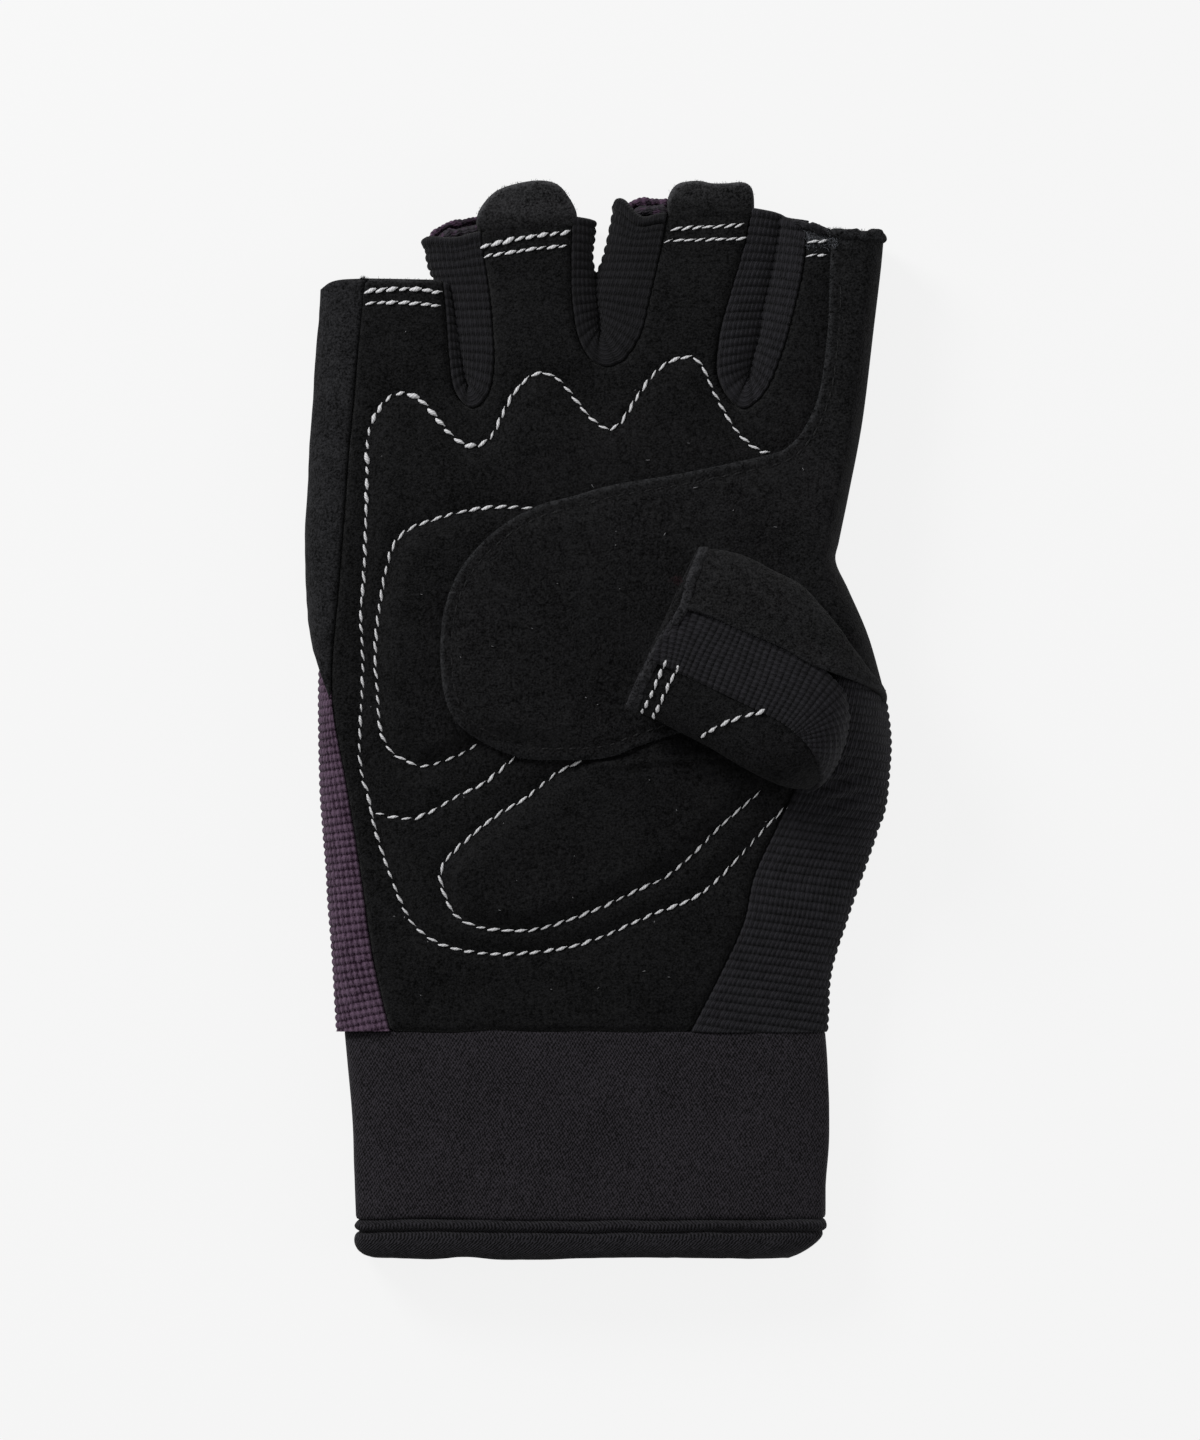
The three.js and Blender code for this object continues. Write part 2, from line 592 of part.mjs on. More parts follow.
// A folded tab: its outline with softened edges
function pullTab(outline, height) {
  const shape = new THREE.Shape(outline.map(([x, y]) => new THREE.Vector2(x, y)));
  return new THREE.ExtrudeGeometry(shape, {
    depth: tabThickness - 2 * tabSoftening,
    bevelEnabled: true,
    bevelThickness: tabSoftening,
    bevelSize: tabSoftening,
    bevelOffset: -tabSoftening,
    bevelSegments: 1,
  }).translate(0, 0, height + tabSoftening);
}

const thumbHole = thumbSpace();

// Palm: one sheet with four finger lobes, cut to its seams. At the index finger and the
// web it stays inside the second layer, and the thumb's hole parts it from its side.
const underOverlay = ([x, y]) => [x - overlayLift / 2, y];
const thumbSeam = seamLine(thumbSideRows, sideSteps.thumbSide);
const palmOutline = insetOutline([
  ...seamLine(wrapRows, sideSteps.wrap).reverse(),
  ...seamLine(littleSideRows, sideSteps.littleSide).reverse(),
  ...seamLine(littleRingRows, sideSteps.finger),
  ...seamLine(ringMiddleRows, sideSteps.finger),
  ...seamLine(middleIndexRows, sideSteps.finger),
  ...seamLine(indexSideRows, sideSteps.indexSide).map(underOverlay),
  palmCorner,
  ...thumbSeam.filter(([x]) => x < palmSeamEnd),
], seamGap);
addPiece('palm_panel', toGeometry(
  cutSheet(palmOutline, palmStep, palmTop, (x, y) => handTop(x, y) - palmWall).subtract(thumbHole),
), materials.suede);

// Second suede layer: a plate over the palm, joined to the outer side of the index finger
const overlayOutline = [
  ...smoothLine(overlayEdge, overlaySteps),
  ...seamLine(indexSideRows, sideSteps.indexSide).reverse().map(([x, y]) => [x + overlayJoin, y]),
];
const overlayPlate = cutSheet(
  overlayOutline, palmStep, overlayTop, (x, y) => palmTop(x, y) + seamGap,
);
const indexSide = sideWall(
  indexSideRows, sideSteps.indexSide, overlayTop, fingerSideHeight, indexFootInset, suedeWall,
);
addPiece('palm_overlay', toGeometry(
  overlayPlate.add(toSolid(indexSide)).subtract(thumbHole),
), materials.suede);

addPiece('little_side_panel', sideWall(
  littleSideRows, sideSteps.littleSide, palmTop, handSideHeight, handFootInset, suedeWall,
), materials.suede);

const thumbSide = sideWall(
  thumbSideRows, sideSteps.thumbSide, palmTop, handSideHeight, handFootInset, knitWall,
);
addPiece('thumb_side_panel', toGeometry(toSolid(thumbSide).subtract(thumbHole)), materials.ribKnit);

// Back of the hand: a flat sheet on the resting plane, joined to the part that wraps up
const backOutline = insetOutline([
  ...footLine(wrapRows, handFootInset, sideSteps.wrap).reverse().map(([x, y]) => [x - wrapLap, y]),
  ...footLine(littleSideRows, handFootInset, sideSteps.littleSide).reverse(),
  ...backTips[0],
  ...footLine(littleRingRows, fingerFootInset, sideSteps.finger),
  ...backTips[1],
  ...footLine(ringMiddleRows, fingerFootInset, sideSteps.finger),
  ...backTips[2],
  ...footLine(middleIndexRows, fingerFootInset, sideSteps.finger),
  ...backTips[3],
  ...footLine(indexSideRows, indexFootInset, sideSteps.indexSide),
  ...footLine(thumbSideRows, handFootInset, sideSteps.thumbSide),
], seamGap);
const backSheet = cutSheet(backOutline, backStep, () => knitWall, () => 0);
const backWrap = sideWall(
  wrapRows, sideSteps.wrap, palmTop, handSideHeight, handFootInset, knitWall,
);
addPiece('back_panel', toGeometry(backSheet.add(toSolid(backWrap))), materials.purpleKnit);

const fourchettes = [
  { name: 'fourchette_little_ring', rows: littleRingRows },
  { name: 'fourchette_ring_middle', rows: ringMiddleRows },
  { name: 'fourchette_middle_index', rows: middleIndexRows },
];
fourchettes.forEach(({ name, rows }) => {
  const walls = sideWall(rows, sideSteps.finger, palmTop, fingerSideHeight, fingerFootInset, knitWall);
  addPiece(name, walls, materials.ribKnit);
});

// Thumb stall: suede face, rib gusset and suede back, from one seam to the next
addPiece('thumb_back', thumbStrip(
  thumbFaces.back, () => thumbUnderSeam - 1, (section) => section.backSeam, suedeWall,
), materials.suede);
addPiece('thumb_gusset', thumbStrip(
  thumbFaces.gusset, (section) => section.backSeam, (section) => section.palmSeam, knitWall,
), materials.ribKnit);
addPiece('thumb_palm', thumbStrip(
  thumbFaces.palm, (section) => section.palmSeam, () => thumbUnderSeam, suedeWall,
), materials.suede);

addPiece('cuff', sleeve(cuffRows, cuffWall, cuffFaces), materials.cuffKnit);
addPiece('cuff_piping', sleeve(pipingRows, cuffWall, cuffFaces), materials.cuffKnit);
addPiece('cuff_hem', sleeve(hemRows, hemWall, cuffFaces), materials.cuffKnit);

addPiece('ring_tab', pullTab(ringTabOutline, ringTabHeight), materials.suede);
addPiece('middle_tab', pullTab(middleTabOutline, middleTabHeight), materials.suede);

export default glove;
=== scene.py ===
import math

import bpy
import numpy as np
from mathutils.kdtree import KDTree
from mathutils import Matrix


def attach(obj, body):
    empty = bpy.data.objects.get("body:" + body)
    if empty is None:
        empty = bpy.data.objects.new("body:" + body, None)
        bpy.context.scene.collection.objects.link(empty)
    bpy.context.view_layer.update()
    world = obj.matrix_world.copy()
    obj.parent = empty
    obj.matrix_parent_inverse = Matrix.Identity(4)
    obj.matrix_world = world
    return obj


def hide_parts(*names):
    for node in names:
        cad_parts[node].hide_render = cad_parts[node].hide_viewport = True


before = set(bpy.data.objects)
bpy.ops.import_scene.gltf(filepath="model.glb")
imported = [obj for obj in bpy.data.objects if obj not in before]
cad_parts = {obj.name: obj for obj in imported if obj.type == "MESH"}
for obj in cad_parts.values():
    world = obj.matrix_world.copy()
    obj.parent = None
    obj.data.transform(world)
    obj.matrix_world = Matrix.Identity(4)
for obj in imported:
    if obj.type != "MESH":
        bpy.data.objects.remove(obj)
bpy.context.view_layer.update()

# The studio: a pale table top under a wide, soft and nearly even light, with a little more
# of it from the upper left. The camera looks straight down through a long lens. Sizes in
# this file are millimetres, and MM makes them metres.
MM = 0.001
VIEW_HEIGHT = 252.0
VIEW_MIDDLE = (0.44, 0.17)
GLOVE_MIDDLE_HEIGHT = 13.0
LENS = 200.0
SENSOR = 36.0
TABLE_GLOW = 0.855
TABLE_COLOUR = 0.05
ROOM_LIGHT = 0.5
LAMPS = [
    ("key_light", (-0.6, 0.62, 0.5), 0.35, 13.0),
    ("side_light", (0.8, -0.1, 0.35), 0.5, 2.5),
]


def add_node(material, kind, inputs=None, **settings):
    """A new shader node, with its sockets set to values or joined to other sockets."""
    made = material.node_tree.nodes.new("ShaderNode" + kind)
    for name, value in settings.items():
        setattr(made, name, value)
    for name, value in (inputs or {}).items():
        if isinstance(value, bpy.types.NodeSocket):
            material.node_tree.links.new(value, made.inputs[name])
        else:
            made.inputs[name].default_value = value
    return made


def new_material(name):
    """An empty node material."""
    material = bpy.data.materials.new(name)
    material.use_nodes = True
    material.node_tree.nodes.clear()
    return material


def show(material, inputs):
    """Ends a material in the one shader that everything here uses."""
    shader = add_node(material, "BsdfPrincipled", inputs)
    add_node(material, "OutputMaterial", {"Surface": shader.outputs[0]})


def noise(material, place, scale, detail=3.0, roughness=0.55):
    """Output of a noise of a given scale."""
    inputs = {"Vector": place, "Scale": scale, "Detail": detail, "Roughness": roughness}
    return add_node(material, "TexNoise", inputs).outputs["Fac"]


def remap(material, value, low, high, to_low=0.0, to_high=1.0, **settings):
    """Output of a map range node."""
    inputs = {"Value": value, "From Min": low, "From Max": high, "To Min": to_low, "To Max": to_high}
    return add_node(material, "MapRange", inputs, **settings).outputs[0]


bpy.context.scene.view_settings.view_transform = "Standard"
camera_data = bpy.data.cameras.new("camera")
camera_data.lens = LENS
camera_data.sensor_width = SENSOR
camera_data.clip_end = 10
camera = bpy.data.objects.new("camera", camera_data)
camera_distance = VIEW_HEIGHT * LENS / SENSOR
camera.location = np.array((*VIEW_MIDDLE, GLOVE_MIDDLE_HEIGHT + camera_distance)) * MM
bpy.context.scene.collection.objects.link(camera)
bpy.context.scene.camera = camera

bpy.ops.object.select_all(action="DESELECT")
bpy.ops.mesh.primitive_plane_add(size=6, location=(0, 0, -0.00005))
table_top = bpy.context.active_object
table_top.name = "table_top"
table_paint = new_material("table_paint")
table_grain = add_node(table_paint, "TexNoise", {"Scale": 40.0}).outputs["Fac"]
show(table_paint, {
    "Base Color": remap(table_paint, table_grain, 0.0, 1.0, TABLE_COLOUR - 0.004, TABLE_COLOUR),
    "Roughness": 0.9,
    "Specular IOR Level": 0.1,
    "Emission Color": (1, 1, 1, 1),
    "Emission Strength": TABLE_GLOW,
})
table_top.data.materials.append(table_paint)

room = bpy.data.worlds.new("room")
room.use_nodes = True
room.node_tree.nodes["Background"].inputs["Color"].default_value = (1, 1, 1, 1)
room.node_tree.nodes["Background"].inputs["Strength"].default_value = ROOM_LIGHT
bpy.context.scene.world = room

for lamp_name, (x, y, z), size, power in LAMPS:
    lamp_data = bpy.data.lights.new(lamp_name, "AREA")
    lamp_data.size = size
    lamp_data.energy = power
    lamp = bpy.data.objects.new(lamp_name, lamp_data)
    lamp.location = (x, y, z)
    lamp.rotation_euler = (math.atan2(math.hypot(x, y), z), 0, math.atan2(-y, -x) - math.pi / 2)
    bpy.context.scene.collection.objects.link(lamp)

# The palm: one sheet of black suede with four finger lobes, backed with thin foam. It is
# quilted into a field with two raised pads, and its edges turn down into the seams.
SUEDE_WALL = 1.2
PALM_WALL = 1.9
PALM_STEP = 0.62
SEAM_TURN = 1.0
CROWN_DROP = 1.6
CROWN_LIMIT = 1.2
SLIT_DIP = 1.3
SLIT_WIDTH = 5.0
SLIT_START, SLIT_DEEP = 45.0, 60.0
CROTCH_Y = 55.0
FIELD_RISE = 0.8
PAD_RISE = 1.3
PAD_SLOPE = 4.0
PAD_FADE = (-18.0, 4.0)
CUFF_SEAM_Y, PIPING_Y = -54.5, -88.4
SUEDE_BLACK = 0.0046
FRAYED = (0.034, 0.035, 0.038)


def table(columns, *rows):
    """Rows of a table, each with its values by the names of the columns."""
    return [dict(zip(columns.split(), row)) for row in rows]


PALM_RIDGE = table(
    "y height left right",
    (-56, 13.0, -45.3, 40.5), (-30, 14.4, -47.3, 45.8), (0, 15.3, -49.3, 51.2),
    (35, 15.0, -51.3, 44.0), (60, 13.4, -49.8, 47.8), (95, 11.4, -47.8, 52.0),
)
SLITS = table("x lean", (-23.5, 0.0), (0.4, 0.0), (25.6, 0.2))
LITTLE_SIDE_ROWS = table(
    "seam side foot",
    ((-41.1, 77.6), (-48.6, 77.4), (-44.3, 77.2)), ((-42.4, 59.5), (-49.8, 59.7), (-45.4, 59.7)),
    ((-43.6, 45.0), (-50.7, 45.7), (-46.3, 45.7)), ((-44.9, 28.0), (-51.4, 30.0), (-46.9, 32.0)),
    ((-46.3, 12.0), (-51.0, 18.5), (-46.9, 24.0)), ((-46.7, 3.0), (-49.9, 12.0), (-46.6, 18.6)),
)
WRAP_ROWS = table(
    "seam side foot",
    ((-46.4, 2.6), (-49.0, 12.4), (-44.4, 18.4)), ((-45.8, -1.2), (-49.2, 3.0), (-44.6, 6.0)),
    ((-43.6, -13.0), (-48.9, -11.0), (-44.4, -10.0)), ((-41.4, -26.8), (-47.9, -26.0), (-43.2, -26.0)),
    ((-39.3, -41.6), (-46.8, -41.6), (-42.3, -41.6)), ((-36.3, -54.4), (-46.0, -54.6), (-41.5, -54.6)),
)
INDEX_SIDE_ROWS = table(
    "seam side",
    ((46.3, 84.2), (50.3, 84.2)), ((45.9, 79.0), (49.8, 79.0)), ((44.9, 69.0), (48.6, 69.0)),
    ((43.0, 52.7), (46.6, 52.7)), ((41.0, 40.0), (44.2, 40.0)), ((38.9, 31.7), (42.5, 31.7)),
    ((38.3, 28.0), (41.9, 28.0)), ((40.0, 22.9), (44.2, 22.9)), ((43.2, 15.0), (47.6, 15.0)),
    ((46.0, 5.6), (50.3, 5.6)),
)
THUMB_SIDE_ROWS = table(
    "seam side",
    ((41.0, 8.2), (50.7, 5.4)), ((38.5, -2.0), (51.7, -3.0)), ((35.8, -9.3), (51.3, -10.6)),
    ((33.6, -14.2), (50.6, -16.0)), ((31.2, -18.9), (49.4, -19.6)), ((27.4, -27.0), (46.8, -27.0)),
    ((25.5, -35.3), (44.0, -35.3)), ((21.5, -44.2), (41.3, -44.2)), ((16.2, -54.4), (40.5, -54.6)),
)
LITTLE_RING_ROWS = table(
    "seam side foot",
    ((-27.0, 77.3), (-25.6, 77.0), (-28.0, 77.2)), ((-26.4, 70.0), (-24.2, 70.0), (-26.9, 70.0)),
    ((-26.0, 63.5), (-22.7, 64.0), (-26.3, 63.4)), ((-25.0, 58.0), (-22.3, 60.6), (-25.3, 57.7)),
    ((-22.3, 54.8), (-22.9, 60.4), (-22.4, 55.4)), ((-19.2, 57.2), (-24.6, 60.8), (-20.1, 57.9)),
    ((-18.1, 63.2), (-25.8, 64.2), (-19.6, 63.5)), ((-18.4, 70.0), (-27.0, 70.0), (-20.1, 70.0)),
    ((-19.0, 76.0), (-28.4, 75.9), (-21.3, 75.9)), ((-19.8, 81.0), (-29.9, 79.8), (-26.2, 80.2)),
    ((-20.4, 86.1), (-31.1, 84.6), (-28.2, 85.0)),
)
RING_MIDDLE_ROWS = table(
    "seam side foot",
    ((-4.6, 88.7), (-0.1, 88.1), (-3.1, 88.5)), ((-4.6, 81.0), (-0.5, 81.0), (-3.1, 81.0)),
    ((-4.5, 74.0), (0.7, 74.6), (-3.0, 74.1)), ((-3.2, 66.8), (1.0, 70.4), (-2.2, 67.7)),
    ((0.0, 62.5), (0.5, 69.6), (0.2, 64.8)), ((4.2, 62.9), (-0.2, 69.8), (2.5, 65.5)),
    ((7.6, 67.8), (-0.7, 71.6), (3.7, 69.7)), ((9.4, 75.0), (-1.4, 76.0), (3.7, 75.7)),
    ((10.8, 81.5), (0.8, 81.8), (3.9, 81.5)), ((12.2, 89.2), (3.1, 90.8), (5.7, 89.8)),
)
MIDDLE_INDEX_ROWS = table(
    "seam side foot",
    ((27.0, 90.1), (32.7, 89.2), (28.8, 89.8)), ((25.3, 82.0), (32.3, 81.8), (27.6, 81.9)),
    ((23.2, 74.8), (31.0, 75.0), (26.1, 74.9)), ((21.4, 67.5), (29.8, 68.4), (24.5, 68.0)),
    ((21.2, 60.0), (27.9, 62.6), (23.7, 60.9)), ((25.0, 54.8), (26.9, 61.6), (25.8, 57.1)),
    ((29.2, 57.4), (26.1, 62.2), (28.5, 58.9)), ((32.0, 63.6), (26.4, 65.8), (30.5, 64.3)),
    ((34.0, 70.4), (27.5, 71.8), (32.1, 70.9)), ((35.8, 78.4), (29.3, 79.4), (34.0, 78.8)),
    ((37.1, 87.8), (31.4, 89.0), (35.7, 87.0)),
)
PALM_CORNER = (39.5, 1.0)
PALM_SEAM_END = 37.5
OVERLAY_MARGIN = 0.75
TAB_SPANS = [(-19.8, -5.0), (13.0, 26.8)]
TAB_TIP = 83.0

# Quilting lines, which are stitched in white, and what closes the fields that they bound
WAVE_LINE = [
    (-40.4, 47.2), (-39.7, 51.9), (-37.0, 56.3), (-34.6, 57.4), (-31.8, 56.9), (-29.0, 54.1),
    (-25.8, 50.2), (-22.3, 47.9), (-18.9, 49.3), (-17.1, 52.7), (-14.8, 57.2), (-11.5, 60.7),
    (-10.1, 61.1), (-6.6, 59.7), (-2.2, 54.1), (1.8, 50.9), (4.5, 52.7), (6.9, 56.7),
    (11.0, 61.9), (15.3, 63.8), (17.9, 63.0), (20.0, 58.4), (23.7, 51.6), (27.6, 47.6),
    (30.4, 46.8),
]
FIELD_LINE = [
    (-40.4, 47.2), (-40.3, 42.7), (-40.8, 26.2), (-41.4, 18.9), (-41.0, 9.4), (-41.6, -6.3),
    (-40.2, -12.8), (-38.1, -21.7), (-33.5, -33.6), (-30.2, -37.4), (-25.6, -39.7),
    (-16.1, -40.8), (-3.1, -39.1), (9.4, -33.9), (17.2, -30.8), (22.3, -26.4), (26.6, -21.7),
    (31.1, -16.8), (34.5, -13.9),
]
FINGER_PAD_LINE = [
    (-11.2, 37.1), (-16.4, 37.4), (-20.9, 37.1), (-27.6, 35.5), (-34.2, 32.7), (-36.8, 27.1),
    (-38.8, 13.5), (-38.4, 4.7), (-37.9, -1.8), (-36.1, -5.4), (-33.7, -6.8), (-30.9, -8.0),
    (-26.9, -7.0), (-23.5, -5.6), (-20.9, -4.0),
]
BRANCH_LINE = [
    (-39.1, -15.9), (-35.8, -16.8), (-31.8, -17.0), (-27.9, -15.2), (-24.5, -13.1),
    (-20.0, -11.0), (-16.4, -8.0), (-14.0, -6.0),
]
THUMB_PAD_LINE = [
    (-2.6, -7.0), (-6.7, -8.8), (-13.2, -14.0), (-17.4, -16.3), (-23.9, -21.7), (-27.0, -24.9),
    (-27.5, -27.6), (-25.8, -32.7), (-23.2, -35.2), (-18.8, -36.4), (-12.2, -36.6),
    (-6.6, -35.3), (0.8, -32.5), (8.3, -28.9), (11.5, -27.6), (16.7, -23.3), (21.1, -18.7),
    (28.6, -12.2),
]
UNDER_FINGER_PAD = [(0.0, -5.0), (26.0, -2.0), (34.0, 22.0), (16.0, 39.0)]
UNDER_THUMB_PAD = [(30.0, 0.0), (14.0, 0.0)]
FIELD_BEYOND = [(46.0, 0.0), (44.0, 30.0)]
CREASE_LINE = [(-3.5, -7.7), (3.0, -7.6), (10.0, -6.9), (17.0, -6.1), (23.0, -5.4)]


def smooth_line(points, steps):
    """Points on a smooth curve through a list of points."""
    ends = np.array(points, float)
    ends = np.vstack([2 * ends[0] - ends[1], ends, 2 * ends[-1] - ends[-2]])
    place = np.linspace(0, len(points) - 1, steps + 1)
    first = np.minimum(place.astype(int), len(points) - 2)
    part = (place - first)[:, None]
    a, b, c, d = (ends[first + shift] for shift in range(4))
    return b + 0.5 * part * (
        c - a + part * (2 * a - 5 * b + 4 * c - d + part * (3 * (b - c) + d - a))
    )


def run_along(line):
    """Distance along a line at each of its points."""
    return np.concatenate([[0], np.cumsum(np.linalg.norm(np.diff(line, axis=0), axis=1))])


def read_off(stops, run, values):
    """Each column of some values, read off at stops along a run."""
    return np.stack([np.interp(stops, run, column) for column in values.T], -1)


def even_line(points, spacing):
    """A smooth curve through points, with its own points evenly spaced along it."""
    fine = smooth_line(points, 40 * len(points))
    run = run_along(fine)
    count = max(2, int(round(run[-1] / spacing)))
    return read_off(np.linspace(0, run[-1], count + 1), run, fine)


def smoothstep(value, low, high):
    """An eased step from 0 at low to 1 at high."""
    part = np.clip((value - low) / (high - low), 0, 1)
    return part * part * (3 - 2 * part)


def bell(offset, width, other_offset=0.0, other_width=1.0):
    """A soft bump, 1 high where its offsets are 0."""
    return np.exp(-((offset / width) ** 2) - (other_offset / other_width) ** 2)


def eased_column(rows, column, y):
    """One column of a table at y, eased from row to row."""
    ys, values = (np.array([row[name] for row in rows], float) for name in ("y", column))
    first = np.clip(np.searchsorted(ys, y, side="right") - 1, 0, len(rows) - 2)
    part = smoothstep(y, ys[first], ys[first + 1])
    return values[first] + part * (values[first + 1] - values[first])


def nearest_on(x, y, line):
    """Distance from points to a line, and the nearest place on it."""
    distance = np.full(np.shape(x), np.inf)
    place_x, place_y = np.zeros(np.shape(x)), np.zeros(np.shape(x))
    for (x1, y1), (x2, y2) in zip(line[:-1], line[1:]):
        length2 = max((x2 - x1) ** 2 + (y2 - y1) ** 2, 1e-12)
        along = np.clip(((x - x1) * (x2 - x1) + (y - y1) * (y2 - y1)) / length2, 0, 1)
        px, py = x1 + along * (x2 - x1), y1 + along * (y2 - y1)
        here = np.hypot(x - px, y - py)
        closer = here < distance
        distance = np.where(closer, here, distance)
        place_x, place_y = np.where(closer, px, place_x), np.where(closer, py, place_y)
    return distance, place_x, place_y


def depth_inside(x, y, outline):
    """How far points lie inside a closed outline, negative outside it."""
    ring = np.vstack([outline, outline[:1]])
    inside = np.zeros(np.shape(x), bool)
    for (x1, y1), (x2, y2) in zip(ring[:-1], ring[1:]):
        if y1 != y2:
            inside ^= ((y1 > y) != (y2 > y)) & (x < (x2 - x1) * (y - y1) / (y2 - y1) + x1)
    distance = nearest_on(x, y, ring)[0]
    return np.where(inside, distance, -distance)


def soft_noise(x, y, size, seed):
    """Gentle random swells from -1 to 1, with hills of one size."""
    table_side = 64
    heights = np.random.default_rng(seed).uniform(-1, 1, (table_side, table_side))
    u, v = np.asarray(x) / size + 17.3, np.asarray(y) / size + 9.7
    i, j = np.floor(u).astype(int), np.floor(v).astype(int)
    f, g = smoothstep(u - i, 0, 1), smoothstep(v - j, 0, 1)
    corner = lambda di, dj: heights[(i + di) % table_side, (j + dj) % table_side]
    low = corner(0, 0) * (1 - f) + corner(1, 0) * f
    high = corner(0, 1) * (1 - f) + corner(1, 1) * f
    return low * (1 - g) + high * g


def turned_edge(depth, radius):
    """How far cloth drops where its edge turns down into a seam."""
    short = np.clip(1 - depth / radius, 0, 1)
    return radius * (1 - np.sqrt(1 - short * short))


wave_curve = smooth_line(WAVE_LINE, 120)
field_curve = smooth_line(FIELD_LINE, 90)
finger_pad_curve = smooth_line(FINGER_PAD_LINE, 60)
branch_curve = smooth_line(BRANCH_LINE, 28)
thumb_pad_curve = smooth_line(THUMB_PAD_LINE, 80)
field_outline = np.vstack([wave_curve, FIELD_BEYOND[::-1], field_curve[::-1]])
finger_pad_outline = np.vstack([finger_pad_curve, UNDER_FINGER_PAD])
thumb_pad_outline = np.vstack([thumb_pad_curve, UNDER_THUMB_PAD])


def palm_top(x, y):
    """Height of the palm's outer face with its pads, before the stitches pull it in."""
    left, right = eased_column(PALM_RIDGE, "left", y), eased_column(PALM_RIDGE, "right", y)
    across = (2 * x - left - right) / (right - left)
    height = eased_column(PALM_RIDGE, "height", y) - CROWN_DROP * np.minimum(across**4, CROWN_LIMIT)
    openness = smoothstep(y, SLIT_START, SLIT_DEEP)
    for slit in SLITS:
        height = height - SLIT_DIP * openness * bell(
            x - slit["x"] - slit["lean"] * (y - CROTCH_Y), SLIT_WIDTH,
        )
    field, finger, thumb = (
        smoothstep(depth_inside(x, y, outline), 0, PAD_SLOPE)
        for outline in (field_outline, finger_pad_outline, thumb_pad_outline)
    )
    finger = finger * (1 - smoothstep(x, *PAD_FADE))
    return height + (FIELD_RISE * field + PAD_RISE * np.maximum(finger, thumb))


def quilt_dip(x, y):
    """How far the quilting pulls the palm down beside its stitches."""
    lines = [wave_curve, field_curve, finger_pad_curve, branch_curve, thumb_pad_curve]
    distance = np.min([nearest_on(x, y, line)[0] for line in lines], axis=0)
    return 0.45 * bell(distance, 0.8) + 0.3 * bell(distance, 2.4)


def skin_swell(x, y):
    """The small unevenness of the suede palm, with the crease that runs to the thumb."""
    swell = 0.16 * soft_noise(x, y, 9.0, 1) + 0.05 * soft_noise(x, y, 2.2, 2)
    distance = nearest_on(x, y, CREASE_LINE)[0]
    crease = 0.5 * bell(distance, 0.55) - 0.3 * bell(distance - 1.2, 0.6)
    return swell + crease * smoothstep(x, -5.0, 2.0)


def gather_at_cuff(points):
    """Lets the seam above the cuff and the piping wander a little, for all the cloth there."""
    x, y = points[..., 0], points[..., 1]
    shift = 0.3 * soft_noise(x, 0 * x, 8.0, 91) * bell(y - CUFF_SEAM_Y, 3.0)
    shift += 0.5 * soft_noise(x, 0 * x, 13.0, 93) * bell(y - PIPING_Y, 2.2)
    points[..., 1] += shift
    return points


def seam_of(rows):
    return smooth_line([row["seam"] for row in rows], 60)


def cut_sheet(outline, step_x, step_y):
    """Cells inside a cut outline, with the rim points on it: flat points, cells, rim."""
    low, high = outline.min(0), outline.max(0)
    xs = np.arange(low[0] - step_x, high[0] + 2 * step_x, step_x)
    ys = np.arange(low[1] - step_y, high[1] + 2 * step_y, step_y)
    grid_x, grid_y = np.meshgrid(xs, ys, indexing="ij")
    inside = depth_inside(grid_x, grid_y, outline) > 0.2 * min(step_x, step_y)
    cell = inside[:-1, :-1] & inside[1:, :-1] & inside[1:, 1:] & inside[:-1, 1:]
    corner_touch = cell[:-1, :-1] & cell[1:, 1:] & ~cell[1:, :-1] & ~cell[:-1, 1:]
    cell[:-1, :-1] &= ~corner_touch
    corner_touch = ~cell[:-1, :-1] & ~cell[1:, 1:] & cell[1:, :-1] & cell[:-1, 1:]
    cell[1:, :-1] &= ~corner_touch
    i, j = np.nonzero(cell)
    rows = len(ys)
    quads = np.stack([i * rows + j, (i + 1) * rows + j, (i + 1) * rows + j + 1, i * rows + j + 1], 1)
    used, quads = np.unique(quads, return_inverse=True)
    quads = quads.reshape(-1, 4)
    points = np.stack([grid_x.ravel()[used], grid_y.ravel()[used]], 1)
    rim = np.bincount(quads.ravel(), minlength=len(points)) < 4
    ring = np.vstack([outline, outline[:1]])
    points[rim] = np.stack(nearest_on(points[rim, 0], points[rim, 1], ring)[1:], 1)
    edges = np.concatenate([quads[:, [0, 1]], quads[:, [1, 2]], quads[:, [2, 3]], quads[:, [3, 0]]])
    for _ in range(6):
        total, count = np.zeros_like(points), np.zeros(len(points))
        for a, b in ((0, 1), (1, 0)):
            np.add.at(total, edges[:, a], points[edges[:, b]])
            np.add.at(count, edges[:, a], 1)
        points[~rim] += 0.5 * (total / count[:, None] - points)[~rim]
    return points, quads, rim


def make_mesh(name, points, faces, uv=None, rub=None):
    """A new object from points in millimetres, with a UV in millimetres for each point.

    rub says from 0 to 1 how worn and fuzzy the cloth is at each point.
    """
    mesh = bpy.data.meshes.new(name)
    mesh.from_pydata((np.asarray(points) * MM).tolist(), [], faces)
    mesh.polygons.foreach_set("use_smooth", np.ones(len(mesh.polygons), bool))
    if uv is not None:
        corners = np.zeros(len(mesh.loops), int)
        mesh.loops.foreach_get("vertex_index", corners)
        mesh.uv_layers.new(name="cloth").data.foreach_set("uv", np.asarray(uv)[corners].ravel())
    if rub is not None:
        worn = mesh.attributes.new("rub", "FLOAT", "POINT")
        worn.data.foreach_set("value", np.clip(rub, 0, 1).astype(np.float32))
    mesh.update()
    piece = bpy.data.objects.new(name, mesh)
    bpy.context.scene.collection.objects.link(piece)
    return piece


